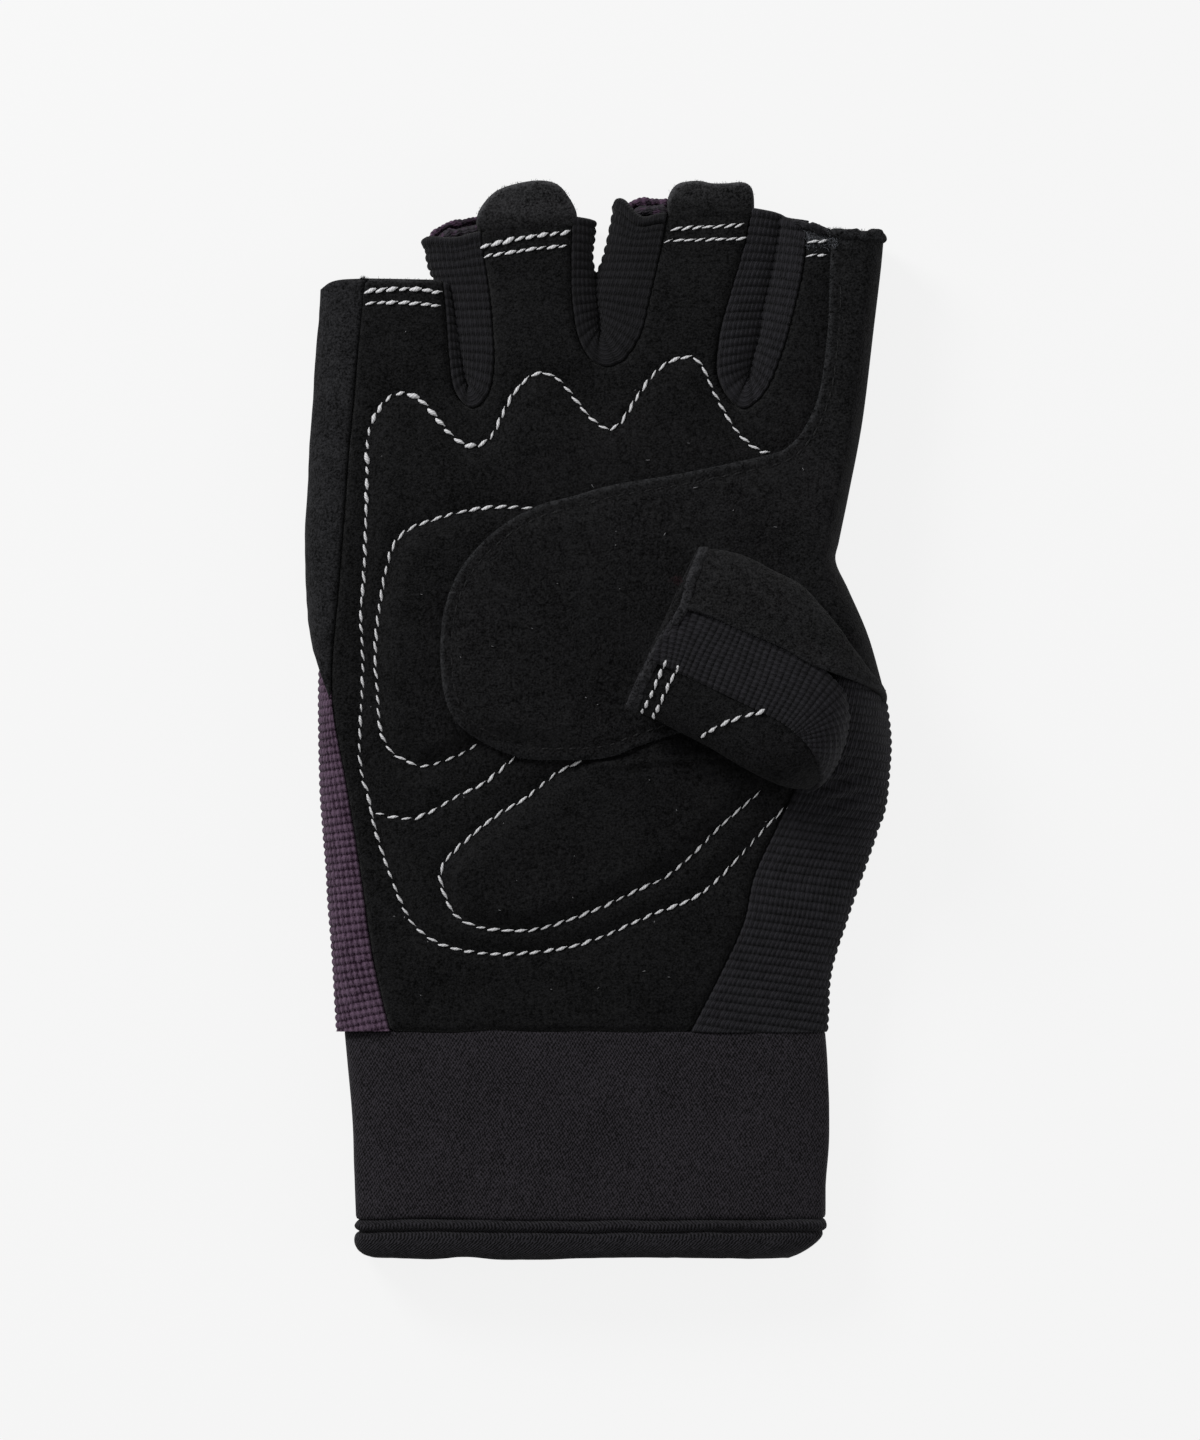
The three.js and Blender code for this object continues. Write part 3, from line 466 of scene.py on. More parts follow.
def thicken(piece, wall):
    """Gives a sheet its thickness, below its outer face."""
    solidify = piece.modifiers.new("wall", "SOLIDIFY")
    solidify.thickness = wall * MM
    solidify.offset = -1
    solidify.use_even_offset = False
    bpy.ops.object.select_all(action="DESELECT")
    piece.select_set(True)
    bpy.context.view_layer.objects.active = piece
    bpy.ops.object.modifier_apply(modifier=solidify.name)
    piece.data.polygons.foreach_set("use_smooth", np.ones(len(piece.data.polygons), bool))


def maths(material, operation, *values):
    """Output of a math node."""
    return add_node(material, "Math", dict(enumerate(values)), operation=operation).outputs[0]


def weighted_sum(material, *parts):
    """Adds sockets, each times its weight."""
    total = maths(material, "MULTIPLY", *parts[0])
    for socket, weight in parts[1:]:
        total = maths(material, "MULTIPLY_ADD", socket, weight, total)
    return total


def shade(colour, factor):
    return [channel * factor for channel in colour]


def blend(material, part, dark, light):
    """A colour between two, the part socket saying how far."""
    dark = dark if isinstance(dark, bpy.types.NodeSocket) else (*dark, 1)
    return add_node(material, "Mix", {0: part, 6: dark, 7: (*light, 1)}, data_type="RGBA").outputs[2]


def show_cloth(material, tint, relief, depth, roughness, gloss, sheen):
    """Ends a material in the shader of a cloth, with a fine relief of some depth."""
    bump = add_node(material, "Bump", {"Height": relief, "Strength": 0.8, "Distance": depth * MM})
    show(material, {
        "Base Color": tint,
        "Roughness": roughness,
        "Specular IOR Level": gloss,
        "Sheen Weight": sheen,
        "Sheen Roughness": 0.5,
        "Normal": bump.outputs[0],
    })


def suede_finish(name, colour, rubbed=(0.016, 0.016, 0.017)):
    """Black suede: a short matt nap, brushed into lighter and darker patches."""
    material = new_material(name)
    place = add_node(material, "TexCoord").outputs["Object"]
    brushed = noise(material, place, 1150.0)
    fibres = noise(material, place, 2700.0, 2.0, 0.65)
    mottle = weighted_sum(
        material, (noise(material, place, 90.0), 0.5), (noise(material, place, 330.0), 0.3),
        (brushed, 1.1), (fibres, 2.2),
    )
    tone = remap(material, mottle, 1.6, 2.5)
    tint = blend(material, tone, shade(colour, 0.12), shade(colour, 1.95))
    rub = add_node(material, "Attribute", attribute_name="rub").outputs["Fac"]
    tint = blend(material, maths(material, "MULTIPLY", rub, tone), tint, rubbed)
    relief = weighted_sum(material, (brushed, 0.7), (fibres, 1.0))
    show_cloth(material, tint, relief, 0.4, 0.95, 0.03, 0.02)
    return material


def dress(piece, material, slot, *nodes):
    """Gives a piece its material and body, and hides the nodes that it stands for. slot is not used."""
    if material:
        piece.data.materials.append(material)
    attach(piece, "root")
    if nodes:
        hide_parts(*nodes)


palm_outline = np.vstack([
    seam_of(WRAP_ROWS)[::-1],
    seam_of(LITTLE_SIDE_ROWS)[::-1],
    seam_of(LITTLE_RING_ROWS),
    seam_of(RING_MIDDLE_ROWS),
    seam_of(MIDDLE_INDEX_ROWS),
    seam_of(INDEX_SIDE_ROWS) - (OVERLAY_MARGIN, 0),
    [PALM_CORNER],
    [point for point in seam_of(THUMB_SIDE_ROWS) if point[0] < PALM_SEAM_END],
])
flat_points, cells, _ = cut_sheet(palm_outline, PALM_STEP, PALM_STEP)
px, py = flat_points.T
depth = np.maximum(depth_inside(px, py, palm_outline), 0)
turn = turned_edge(depth, 0.75)
for left, right in TAB_SPANS:
    under_tab = smoothstep(px, left - 0.8, left) * (1 - smoothstep(px, right, right + 0.8))
    turn *= 1 - under_tab * (py > TAB_TIP)
index_tip = smoothstep(px, 30.0, 34.0) * (1 - smoothstep(85.2 - py, 0.3, 2.2)) * (py > 80)
little_tip = (1 - smoothstep(px, -30.0, -26.0)) * (1 - smoothstep(depth, 0.2, 0.7)) * (py > 74)
palm = make_mesh(
    "suede_palm",
    gather_at_cuff(np.column_stack([
        px, py, palm_top(px, py) - quilt_dip(px, py) - turn + skin_swell(px, py),
    ])),
    cells.tolist(), flat_points, np.maximum(index_tip, 0.6 * little_tip),
)
thicken(palm, PALM_WALL)
suede_palm = suede_finish("suede_palm", (SUEDE_BLACK, SUEDE_BLACK, SUEDE_BLACK * 1.05), FRAYED)
dress(palm, suede_palm, "suede", "palm_panel")

# The grip patch: a second layer of the same suede over the palm, sewn on near its cut
# edge. It runs up over the index finger, round its outer side and the web of the thumb.
PATCH_LIFT = 1.5
PATCH_EDGE_LIFT = 1.2
PATCH_SEAM_IN = 2.0
FINGER_SIDE_HEIGHT = 6.0
HAND_SIDE_HEIGHT = 8.0
INDEX_FOOT = 3.5
HAND_FOOT = 4.5
FINGER_FOOT = 3.0
TIP_HEM_RADIUS = 0.9
PATCH_EDGE = [
    (41.0, 85.6), (40.6, 76.0), (40.3, 68.4), (38.9, 57.9), (36.5, 51.8), (33.7, 48.3),
    (29.8, 46.5), (14.4, 43.2), (3.1, 41.3), (-4.5, 39.2), (-10.9, 37.4), (-17.8, 33.2),
    (-23.5, 27.1), (-26.5, 20.3), (-27.4, 13.1), (-26.9, 5.6), (-24.9, 0.2), (-20.4, -3.5),
    (-13.9, -6.3), (-8.3, -6.8), (1.1, -6.5), (6.9, -4.5), (14.0, -2.2), (24.0, -0.4),
    (38.0, 0.0),
]
TIP_HEM = [
    (40.2, 85.5, 11.9), (43.0, 85.4, 12.3), (46.0, 85.1, 12.2), (48.4, 85.3, 11.2),
    (49.8, 84.9, 9.6), (50.1, 84.0, 8.4),
]


def foot_of(row, inset):
    """Where a side wall stands on the back, in from its outermost line."""
    if "foot" in row:
        return row["foot"]
    reach = np.array(row["seam"]) - np.array(row["side"])
    return tuple(np.array(row["side"]) + reach * inset / np.linalg.norm(reach))


def even_sections(sections, count):
    """Points evenly spaced along each section, and how far along it each lies."""
    runs = np.stack([run_along(section) for section in sections])
    stops = runs[:, -1:] * np.linspace(0, 1, count)[None]
    return np.stack([read_off(*row) for row in zip(stops, runs, sections)]), stops


def wall_sections(seam, side, foot, top, side_height, fine=40):
    """Sections of a side wall: a quarter oval out to the side, and one down to the foot."""
    turn = np.linspace(0, np.pi / 2, fine)[None, :, None]
    down = turn[:, 1:]
    upper = seam[:, None] + (side - seam)[:, None] * np.sin(turn)
    lower = side[:, None] + (foot - side)[:, None] * (1 - np.cos(down))
    upper_z = side_height + (top[:, None, None] - side_height) * np.cos(turn)
    lower_z = side_height * (1 - np.sin(down)) + 0 * top[:, None, None]
    return np.concatenate([
        np.concatenate([upper, upper_z], axis=2),
        np.concatenate([lower, lower_z], axis=2),
    ], axis=1)


index_x, index_y, index_out = even_line(
    [(*row["seam"], *row["side"]) for row in INDEX_SIDE_ROWS], 0.9,
)[::-1, :3].T
index_sections, index_stops = even_sections(
    wall_sections(
        np.column_stack([index_x, index_y]), np.column_stack([index_out, index_y]),
        np.column_stack([index_out - INDEX_FOOT, index_y]),
        palm_top(index_x, index_y) + PATCH_LIFT, FINGER_SIDE_HEIGHT,
    ), 48,
)
index_length = index_stops[:, -1]


def wrap_round_index(u, y, height):
    """Lays flat points over the index finger's side: past the seam they follow its wall."""
    row = np.interp(y, index_y, np.arange(len(index_y)))
    seam_x, length = np.interp(y, index_y, index_x), np.interp(y, index_y, index_length)
    along = np.clip((u - seam_x) / length, 0, 1) * (index_sections.shape[1] - 1)
    i = np.minimum(row.astype(int), len(index_y) - 2)
    j = np.minimum(along.astype(int), index_sections.shape[1] - 2)
    f, g = (row - i)[:, None], (along - j)[:, None]
    on_wall = (
        index_sections[i, j] * (1 - f) * (1 - g) + index_sections[i + 1, j] * f * (1 - g)
        + index_sections[i, j + 1] * (1 - f) * g + index_sections[i + 1, j + 1] * f * g
    )
    level = np.column_stack([u, y, palm_top(np.minimum(u, seam_x), y) + PATCH_LIFT])
    points = np.where((u > seam_x)[:, None], on_wall, level)
    points[:, 1] = y
    points[:, 2] += height
    return points


patch_cut = smooth_line(PATCH_EDGE, 150)
patch_outline = np.vstack([patch_cut, np.column_stack([index_x + index_length, index_y])])


def patch_relief(x, y):
    """Height of the patch's face over where it would lie flat, and how worn it is."""
    depth = nearest_on(x, y, patch_cut)[0]
    ragged = 0.5 + 0.5 * soft_noise(x, y, 2.2, 8)
    relief = (
        (PATCH_EDGE_LIFT - PATCH_LIFT) * (1 - smoothstep(depth, 0.5, 5.0))
        - turned_edge(depth, 0.35)
        - 0.34 * bell(depth - PATCH_SEAM_IN, 0.5)
        + 0.14 * soft_noise(x, y, 10.0, 3)
        + 0.05 * soft_noise(x, y, 2.4, 4)
    )
    frayed_width = 0.45 + 1.3 * ragged * smoothstep(y, 47.0, 54.0)
    frayed_tip = (1 - smoothstep(84.9 - y, 0.2, 1.2 + 1.2 * ragged)) * (1 - smoothstep(x, 42.0, 46.0))
    return relief, np.maximum(0.5 * (1 - smoothstep(depth, 0.1, frayed_width)), frayed_tip)


def unit(vectors):
    return vectors / np.linalg.norm(vectors, axis=-1, keepdims=True)


def rolled_rim(name, line, radius, unevenness, seed, turns_each=0.0, rub=0.0):
    """A cloth edge rolled up on itself along a line in space, overlocked if turns_each says so."""
    middle = even_line(line, 0.2)
    way = unit(np.gradient(middle, axis=0))
    side = unit(np.cross(way, (0, 0, 1)))
    up = np.cross(side, way)
    run = run_along(middle)
    angle = np.linspace(0, 2 * np.pi, 16, endpoint=False)
    taper = np.sqrt(np.clip(np.minimum(run, run[-1] - run) / radius, 0.02, 1))[:, None]
    round_x, along = radius * angle[None] + 0 * run[:, None], run[:, None] + 0 * angle[None]
    swell = unevenness * soft_noise(along, round_x, 1.1, seed)
    if turns_each:
        swell = swell + 0.14 * np.abs(np.sin(np.pi * along / turns_each + 0.5 * angle[None]))
    thick = (radius + swell) * taper
    points = (
        middle[:, None] + (thick * np.cos(angle))[..., None] * side[:, None]
        + (thick * np.sin(angle))[..., None] * up[:, None]
    )
    ring = lambda k: [k * len(angle) + j for j in range(len(angle))]
    faces = [ring(0), ring(len(run) - 1)[::-1]]
    for k in range(len(run) - 1):
        for a, b in zip(ring(k), ring(k)[1:] + ring(k)[:1]):
            faces.append([b, a, a + len(angle), b + len(angle)])
    uv = np.stack([round_x, along], 2)
    worn = rub * (0.6 + 0.4 * soft_noise(along, round_x, 1.1, seed + 1))
    return make_mesh(name, points.reshape(-1, 3), faces, uv.reshape(-1, 2), worn.ravel())


flat_points, cells, _ = cut_sheet(patch_outline, PALM_STEP, PALM_STEP)
patch_height, patch_rub = patch_relief(*flat_points.T)
patch = make_mesh(
    "grip_patch", wrap_round_index(*flat_points.T, patch_height), cells.tolist(), flat_points, patch_rub,
)
thicken(patch, SUEDE_WALL)
suede_patch = suede_finish("suede_patch", (0.0058, 0.0058, 0.0061), FRAYED)
dress(patch, suede_patch, "suede", "palm_overlay")
tip_hem = rolled_rim("index_tip_hem", TIP_HEM, TIP_HEM_RADIUS, 0.3, 77, rub=0.6)
dress(tip_hem, suede_patch, "suede")

# The little finger's side: a strip of the same suede from the seam of the palm round the
# outer side of the finger and hand, down to the knit back.
SIDE_STEP = 0.5
FLOOR_GAP = 0.02
LAPPED_TIP = {**LITTLE_SIDE_ROWS[0], "seam": (-40.4, 77.6)}


def grid_normals(grid, closed=False):
    """Normals of a grid of points, for a tube's grid joined round its second axis."""
    padded = np.concatenate([grid[:, -2:], grid, grid[:, :2]], axis=1) if closed else grid
    normal = np.cross(np.gradient(padded, axis=0), np.gradient(padded, axis=1))
    normal /= np.maximum(np.linalg.norm(normal, axis=2, keepdims=True), 1e-9)
    return normal[:, 2:-2] if closed else normal


def rim_faces(outer_line, inner_line):
    """Triangles between the edge of an outer face and of its coarser inner face."""
    stride = (len(outer_line) - 1) // (len(inner_line) - 1)
    q = np.arange(len(outer_line) - 1)
    near = q // stride + ((q % stride) >= stride // 2)
    fans = np.stack([outer_line[q], outer_line[q + 1], inner_line[near]], 1)
    c = np.arange(len(inner_line) - 1)
    middles = np.stack([inner_line[c], outer_line[c * stride + stride // 2], inner_line[c + 1]], 1)
    return np.concatenate([fans, middles])


def shell_faces(outer, inner, closed):
    """Faces of a closed wall, from the numbers of its fine outer and coarse inner points."""
    if closed:
        outer, inner = (np.concatenate([grid, grid[:, :1]], axis=1) for grid in (outer, inner))
    quads = lambda g: np.stack([g[:-1, :-1], g[1:, :-1], g[1:, 1:], g[:-1, 1:]], 2).reshape(-1, 4)
    faces = [
        quads(outer), quads(inner)[:, ::-1],
        rim_faces(outer[0], inner[0]), rim_faces(outer[-1], inner[-1])[:, ::-1],
    ]
    if not closed:
        faces += [rim_faces(outer[:, 0], inner[:, 0])[:, ::-1], rim_faces(outer[:, -1], inner[:, -1])]
    return faces


def sewn_wall(
    name, grid, normal, lift, wall, uv, shape=np.asarray, slide=0.0, floor=FLOOR_GAP, stride=4,
    closed=False, rub=None,
):
    """A closed wall of cloth with its outer face at lift over a grid; also gives that face.

    shape moves the points of both faces, slide moves those of the outer face along y, and
    stride says how much coarser the inner face is.
    """
    outer = shape(grid + normal * lift[..., None])
    outer[..., 1] += slide
    outer[..., 2] = np.maximum(outer[..., 2], floor)
    inner = shape(grid - normal * wall)[::stride, ::stride]
    uv = np.stack(uv, 2)
    numbers = np.arange(outer[..., 0].size).reshape(outer.shape[:2])
    inner_numbers = numbers.size + np.arange(inner[..., 0].size).reshape(inner.shape[:2])
    middle = (outer.shape[0] // 2 // stride, outer.shape[1] // 2 // stride)
    over = (middle[0] * stride, middle[1] * stride)
    inside_out = np.dot(grid_normals(outer, closed)[over], outer[over] - inner[middle]) < 0
    faces = []
    for block in shell_faces(numbers, inner_numbers, closed):
        faces += (block[:, ::-1] if inside_out else block).tolist()
    if rub is not None:
        rub = np.concatenate([rub.ravel(), np.zeros(inner_numbers.size)])
    piece = make_mesh(
        name, np.concatenate([outer.reshape(-1, 3), inner.reshape(-1, 3)]), faces,
        np.concatenate([uv.reshape(-1, 2), uv[::stride, ::stride].reshape(-1, 2)]), rub,
    )
    return piece, outer


def fitting_count(length, step, stride):
    """A number of points for a length, with a whole number of strides between them."""
    return stride * max(2, int(round(length / step / stride))) + 1


def side_wall(rows, step, stride=4, top=palm_top, side_height=HAND_SIDE_HEIGHT, inset=HAND_FOOT):
    """Outer grid of a side wall, the distances along and across it, and its normals."""
    corners = [(*row["seam"], *row["side"], *foot_of(row, inset)) for row in rows]
    run_between = lambda lines: run_along((lines[:, :2] + lines[:, 2:4]) / 2)
    count = fitting_count(run_between(even_line(corners, 0.5))[-1], step, stride)
    fine = smooth_line(corners, 2000)
    run = run_between(fine)
    stops = np.linspace(0, run[-1], count)
    lines = read_off(stops, run, fine)
    seam, side, foot = lines[:, :2], lines[:, 2:4], lines[:, 4:]
    sections = wall_sections(seam, side, foot, top(*seam.T), side_height)
    longest = np.linalg.norm(np.diff(sections, axis=1), axis=2).sum(1).max()
    grid, across = even_sections(sections, fitting_count(longest, step, stride))
    along = np.repeat(stops[:, None], grid.shape[1], axis=1)
    normal = grid_normals(grid)
    return grid, along, across, -normal if normal[:, 1:4, 2].mean() < 0 else normal


def edge_drop(along, across, ends, turn=SEAM_TURN):
    """How far a wall's cloth drops in at its seam, and at its two ends by another turn."""
    drop = turned_edge(across, turn)
    if ends:
        drop = np.maximum(drop, turned_edge(np.minimum(along, along.max() - along), ends))
    return drop


grid, along, across, normal = side_wall([LAPPED_TIP] + LITTLE_SIDE_ROWS[1:], SIDE_STEP, 2)
lift = (
    -edge_drop(along, across, 0.6)
    + 0.12 * soft_noise(along, across, 8.0, 5)
    + 0.05 * soft_noise(along, across, 2.0, 6)
)
tip_corner = 1.2 * (np.clip(-grid[..., 0] - 42, 0, 7) / 6.6) ** 4 * (1 - smoothstep(along, 0.0, 6.0))
little_side, _ = sewn_wall(
    "little_finger_side", grid, normal, lift, SUEDE_WALL, (along, across),
    shape=lambda points: points - tip_corner[..., None] * (0, 1, 0), floor=-1.0, stride=2,
    rub=0.7 * (1 - smoothstep(along, 0.2, 1.2)),
)
# The side's suede is nearly twice as light as the palm's: painted sheen where the nap turns away down
# the side.
side_suede_painted_sheen = suede_finish("side_suede_painted_sheen", (0.0085, 0.0085, 0.0092))
dress(little_side, side_suede_painted_sheen, "suede", "little_side_panel")

# The back of the hand: purple rib knit, flat on the table. It has no pads, and at the
# lower left it wraps up round the hand to the seam of the palm.
KNIT_WALL = 1.3
KNIT_STEP = 0.24
RIB_PITCH = 1.52
WALE_PITCH = 0.88
RIB_RISE = 0.42
WALE_RISE = 0.26
BACK_RIB_RISE = 0.22
WRAP_LAP = 0.8
WRAP_RIBS_FINER = 1.1
WRAP_WALES_WIDER = 0.8
BACK_STEP = (1.1, 0.38)
KNIT_BLACK = (0.0064, 0.0062, 0.0074)
BACK_TIPS = [
    [(-44.0, 77.2), (-29.0, 77.2)],
    [(-27.8, 86.2), (-25.5, 87.5), (-21.3, 88.3), (-3.4, 88.9)],
    [(5.9, 91.0), (7.2, 91.7), (12.0, 91.7), (26.0, 90.4), (28.4, 90.0)],
    [(35.8, 87.0), (47.2, 85.4)],
]


def knit_relief(along_ribs, across_ribs, rib=RIB_RISE, wale=WALE_RISE):
    """Height of rib knit: rounded ribs with narrow grooves, parted into stitches."""
    ribs = np.abs(np.sin(np.pi * across_ribs / RIB_PITCH)) ** 0.6
    wales = np.abs(np.sin(np.pi * along_ribs / WALE_PITCH)) ** 0.6
    return rib * (ribs - 1) + wale * ribs * (wales - 1)


def places(material):
    """Places in space, and the two places on the cloth."""
    made = add_node(material, "TexCoord")
    on_cloth = add_node(material, "SeparateXYZ", {0: made.outputs["UV"]})
    return made.outputs["Object"], on_cloth.outputs["X"], on_cloth.outputs["Y"]


def knit_finish(name, colour, groove_shade=None, darkest=2.05, lightest=3.94):
    """Rib knit: painted shade between its ribs, stitches and yarns, with fuzz, and each stitch a little
    different.
    """
    material = new_material(name)
    place, along_rib, across_rib = places(material)

    def ridge(socket, pitch, power):
        turn = maths(material, "MULTIPLY", socket, math.pi / pitch)
        bare = maths(material, "ABSOLUTE", maths(material, "SINE", turn))
        return maths(material, "POWER", bare, power)

    def whole(socket, pitch):
        return maths(material, "FLOOR", maths(material, "MULTIPLY", socket, 1 / pitch))

    stitch = add_node(
        material, "CombineXYZ", {0: whole(along_rib, WALE_PITCH), 1: whole(across_rib, RIB_PITCH)},
    ).outputs[0]
    uneven = add_node(material, "TexWhiteNoise", {"Vector": stitch}, noise_dimensions="2D")
    rib = ridge(across_rib, RIB_PITCH, 0.6)
    yarns = ridge(weighted_sum(material, (along_rib, 1.0), (rib, 0.3)), WALE_PITCH / 2, 0.8)
    fuzz = noise(material, place, 2300.0, 3.0, 0.65)
    mixed = weighted_sum(
        material, (rib, 1.0), (ridge(along_rib, WALE_PITCH, 0.7), 0.85), (yarns, 0.3),
        (uneven.outputs["Value"], 0.45), (fuzz, 2.2), (noise(material, place, 160.0), 0.6),
    )
    # The tone falls in the grooves between ribs, stitches and yarns: painted shade, mixed with fuzz and
    # tone that differs from stitch to stitch.
    tone = remap(material, mixed, darkest, lightest)
    tint = blend(material, tone, groove_shade or shade(colour, 0.12), shade(colour, 1.9))
    relief = weighted_sum(material, (fuzz, 1.0), (yarns, 0.5))
    show_cloth(material, tint, relief, 0.25, 0.85, 0.08, 0.03)
    return material


def foot_line(rows, inset=FINGER_FOOT):
    return smooth_line([foot_of(row, inset) for row in rows], 60)


def join_pieces(main, *others):
    """Joins other pieces into the first."""
    bpy.ops.object.select_all(action="DESELECT")
    for piece in (main, *others):
        piece.select_set(True)
    bpy.context.view_layer.objects.active = main
    bpy.ops.object.join()
    return main


back_outline = np.vstack([
    foot_line(WRAP_ROWS)[::-1] - (WRAP_LAP, 0),
    foot_line(LITTLE_SIDE_ROWS)[::-1],
    BACK_TIPS[0],
    foot_line(LITTLE_RING_ROWS),
    BACK_TIPS[1],
    foot_line(RING_MIDDLE_ROWS),
    BACK_TIPS[2],
    foot_line(MIDDLE_INDEX_ROWS),
    BACK_TIPS[3],
    foot_line(INDEX_SIDE_ROWS, INDEX_FOOT),
    foot_line(THUMB_SIDE_ROWS, HAND_FOOT),
])
flat_points, cells, _ = cut_sheet(back_outline, *BACK_STEP)
relief = knit_relief(*flat_points.T, BACK_RIB_RISE, 0.0)
count = len(flat_points)
rim_edges = {}
for quad in cells.tolist():
    for a, b in zip(quad, quad[1:] + quad[:1]):
        if rim_edges.pop((b, a), None) is None:
            rim_edges[(a, b)] = True
back_faces = cells.tolist() + (cells[:, ::-1] + count).tolist()
back_faces += [(b, a, a + count, b + count) for a, b in rim_edges]
back_points = np.concatenate([
    np.column_stack([flat_points, KNIT_WALL + relief]), np.column_stack([flat_points, -relief * 0.6]),
])
back = make_mesh(
    "purple_back", gather_at_cuff(back_points), back_faces, np.concatenate([flat_points] * 2),
)
grid, along, across, normal = side_wall(WRAP_ROWS, KNIT_STEP)
x, y = grid[..., 0], grid[..., 1]
rib_place = WRAP_RIBS_FINER * (y - 0.16 * (x + 45) + 0.25 * soft_noise(x, y, 11.0, 22))
wale_place = WRAP_WALES_WIDER * across
lift = (
    knit_relief(wale_place, rib_place)
    - edge_drop(along, across, 0)
    + 0.1 * soft_noise(along, across, 6.0, 7)
)
wrap, _ = sewn_wall(
    "back_wrap", grid, normal, lift, KNIT_WALL, (wale_place, rib_place), shape=gather_at_cuff,
)
join_pieces(back, wrap)
# The purple knit's second colour is its painted shade in the grooves.
purple_knit = knit_finish(
    "purple_knit", (0.0372, 0.0232, 0.0364), (0.0088, 0.0024, 0.008), 2.58, 3.62,
)
dress(back, purple_knit, "purple_knit", "back_panel")


def overlock_finish(name, colour, second_colour):
    """Overlocked edge: dark thread with patches of the knit showing through it."""
    material = knit_finish(name, colour)
    shader = next(n for n in material.node_tree.nodes if n.type == "BSDF_PRINCIPLED")
    thread_tint = shader.inputs["Base Color"].links[0].from_socket
    place = add_node(material, "TexCoord").outputs["Object"]
    showing = remap(material, noise(material, place, 650.0, 1.5), 0.5, 0.62)
    tint = blend(material, showing, thread_tint, second_colour)
    material.node_tree.links.new(tint, shader.inputs["Base Color"])
    return material


black_knit = knit_finish("black_rib_knit", KNIT_BLACK)
# The rims' colours, the dark rim's most, are lightened to make up for the shade deep in the finger
# mouths: painted light.
rim_dark = overlock_finish("overlocked_dark", (0.0135, 0.0118, 0.0145), (0.036, 0.021, 0.036))
rim_purple = overlock_finish("overlocked_purple", (0.036, 0.020, 0.035), (0.017, 0.012, 0.0175))
MOUTH_RIMS = [
    (0.56, rim_purple, [
        (-29.5, 84.3, 3.0), (-28.2, 86.0, 2.4), (-26.0, 87.4, 2.0), (-23.5, 88.0, 2.0),
        (-20.0, 88.3, 2.0),
    ]),
    (0.95, rim_dark, [
        (-28.2, 84.0, 3.2), (-27.0, 84.9, 3.0), (-25.2, 85.8, 2.8), (-22.6, 86.4, 2.8),
        (-20.0, 86.6, 2.8),
    ]),
    (0.56, rim_purple, [(5.0, 90.2, 2.8), (6.6, 91.3, 2.0), (9.2, 91.6, 2.0), (12.8, 91.4, 2.0)]),
    (0.95, rim_dark, [(6.4, 89.3, 3.2), (7.7, 89.8, 2.8), (9.6, 89.9, 2.8), (12.6, 89.8, 2.8)]),
    (0.56, black_knit, [
        (31.8, 87.8, 6.0), (33.0, 87.7, 8.2), (34.7, 87.5, 10.2), (36.2, 87.0, 11.2),
        (38.2, 86.2, 11.4), (40.6, 85.6, 11.6),
    ]),
]
rims = []
for number, (thick, material, line) in enumerate(MOUTH_RIMS):
    rim = rolled_rim("mouth_rim_%d" % number, line, thick, 0.4, 71 + 2 * number, turns_each=0.75)
    rim.data.materials.append(material)
    rims.append(rim)
mouth_rims = join_pieces(*rims)
mouth_rims.name = "mouth_rims"
dress(mouth_rims, None, "purple_knit")

# The fourchettes: strips of black rib knit that wall the fingers in, each running down one
# finger, round the bottom of the slit and up the next, with its ribs across the strip.
FOURCHETTE_SIDE_HEIGHT = 7.2
FOURCHETTE_HEM = 2.0
# The shade column darkens each wall's knit by its own amount, most between the ring and middle fingers:
# painted shade, for how deep in shade each wall lies.
FOURCHETTES = table(
    "node piece rows dip corner shade",
    ("fourchette_little_ring", "wall_little_ring", LITTLE_RING_ROWS, 0.5, 0.3, 0.68),
    ("fourchette_ring_middle", "wall_ring_middle", RING_MIDDLE_ROWS, 1.5, 1.3, 0.52),
    ("fourchette_middle_index", "wall_middle_index", MIDDLE_INDEX_ROWS, 0.2, 0.2, 0.93),
)
for seed, strip in enumerate(FOURCHETTES):
    grid, along, across, normal = side_wall(
        strip["rows"], KNIT_STEP, side_height=FOURCHETTE_SIDE_HEIGHT, inset=FINGER_FOOT,
    )
    from_end = along.max() - along
    part = across / across.max(axis=1, keepdims=True)
    hem = 1 - smoothstep(from_end, FOURCHETTE_HEM - 0.5, FOURCHETTE_HEM)
    hem = smoothstep(from_end, 0.0, 0.8) * hem
    lift = (
        knit_relief(across, along) * (1 - 0.6 * hem)
        + hem * (0.2 + 0.14 * soft_noise(along, across, 0.9, 15 + seed))
        - 0.18 * bell(from_end - FOURCHETTE_HEM - 0.1, 0.35)
        - edge_drop(along, across, 0.7, 0.6)
        + 0.14 * soft_noise(along, across, 4.0, 11 + seed)
    )
    end_shift = bell(from_end, 5.0) * (
        strip["corner"] * bell(part - 0.5, 0.16) - strip["dip"] * bell(part - 0.24, 0.14)
    )
    wall, _ = sewn_wall(
        strip["piece"], grid, normal, lift, KNIT_WALL, (across, along),
        shape=lambda points: points + end_shift[..., None] * (0, 1, 0),
    )
    # Each wall's knit is a darker copy of the black knit: painted shade.
    wall_knit = knit_finish(strip["piece"] + "_knit", shade(KNIT_BLACK, strip["shade"]))
    dress(wall, wall_knit, "rib_knit", strip["node"])

# The thumb side: black rib knit below the thumb, from the web to the cuff. Its ribs run
# level from the seam of the palm over the edge of the hand.
ROOT_CLIMB = 9.0
THUMB_SIDE_STEP = 0.26
CREASE_SPACING = 3.4


def thumb_side_top(x, y):
    """Height of the side's upper seam: it climbs from the palm to the top of the thumb."""
    beside_stall = 1.4 * bell(x - 39.0, 6.0, y + 13.0, 4.0)
    return palm_top(x, y) + ROOT_CLIMB * smoothstep(y, -14.0, 8.0) + beside_stall


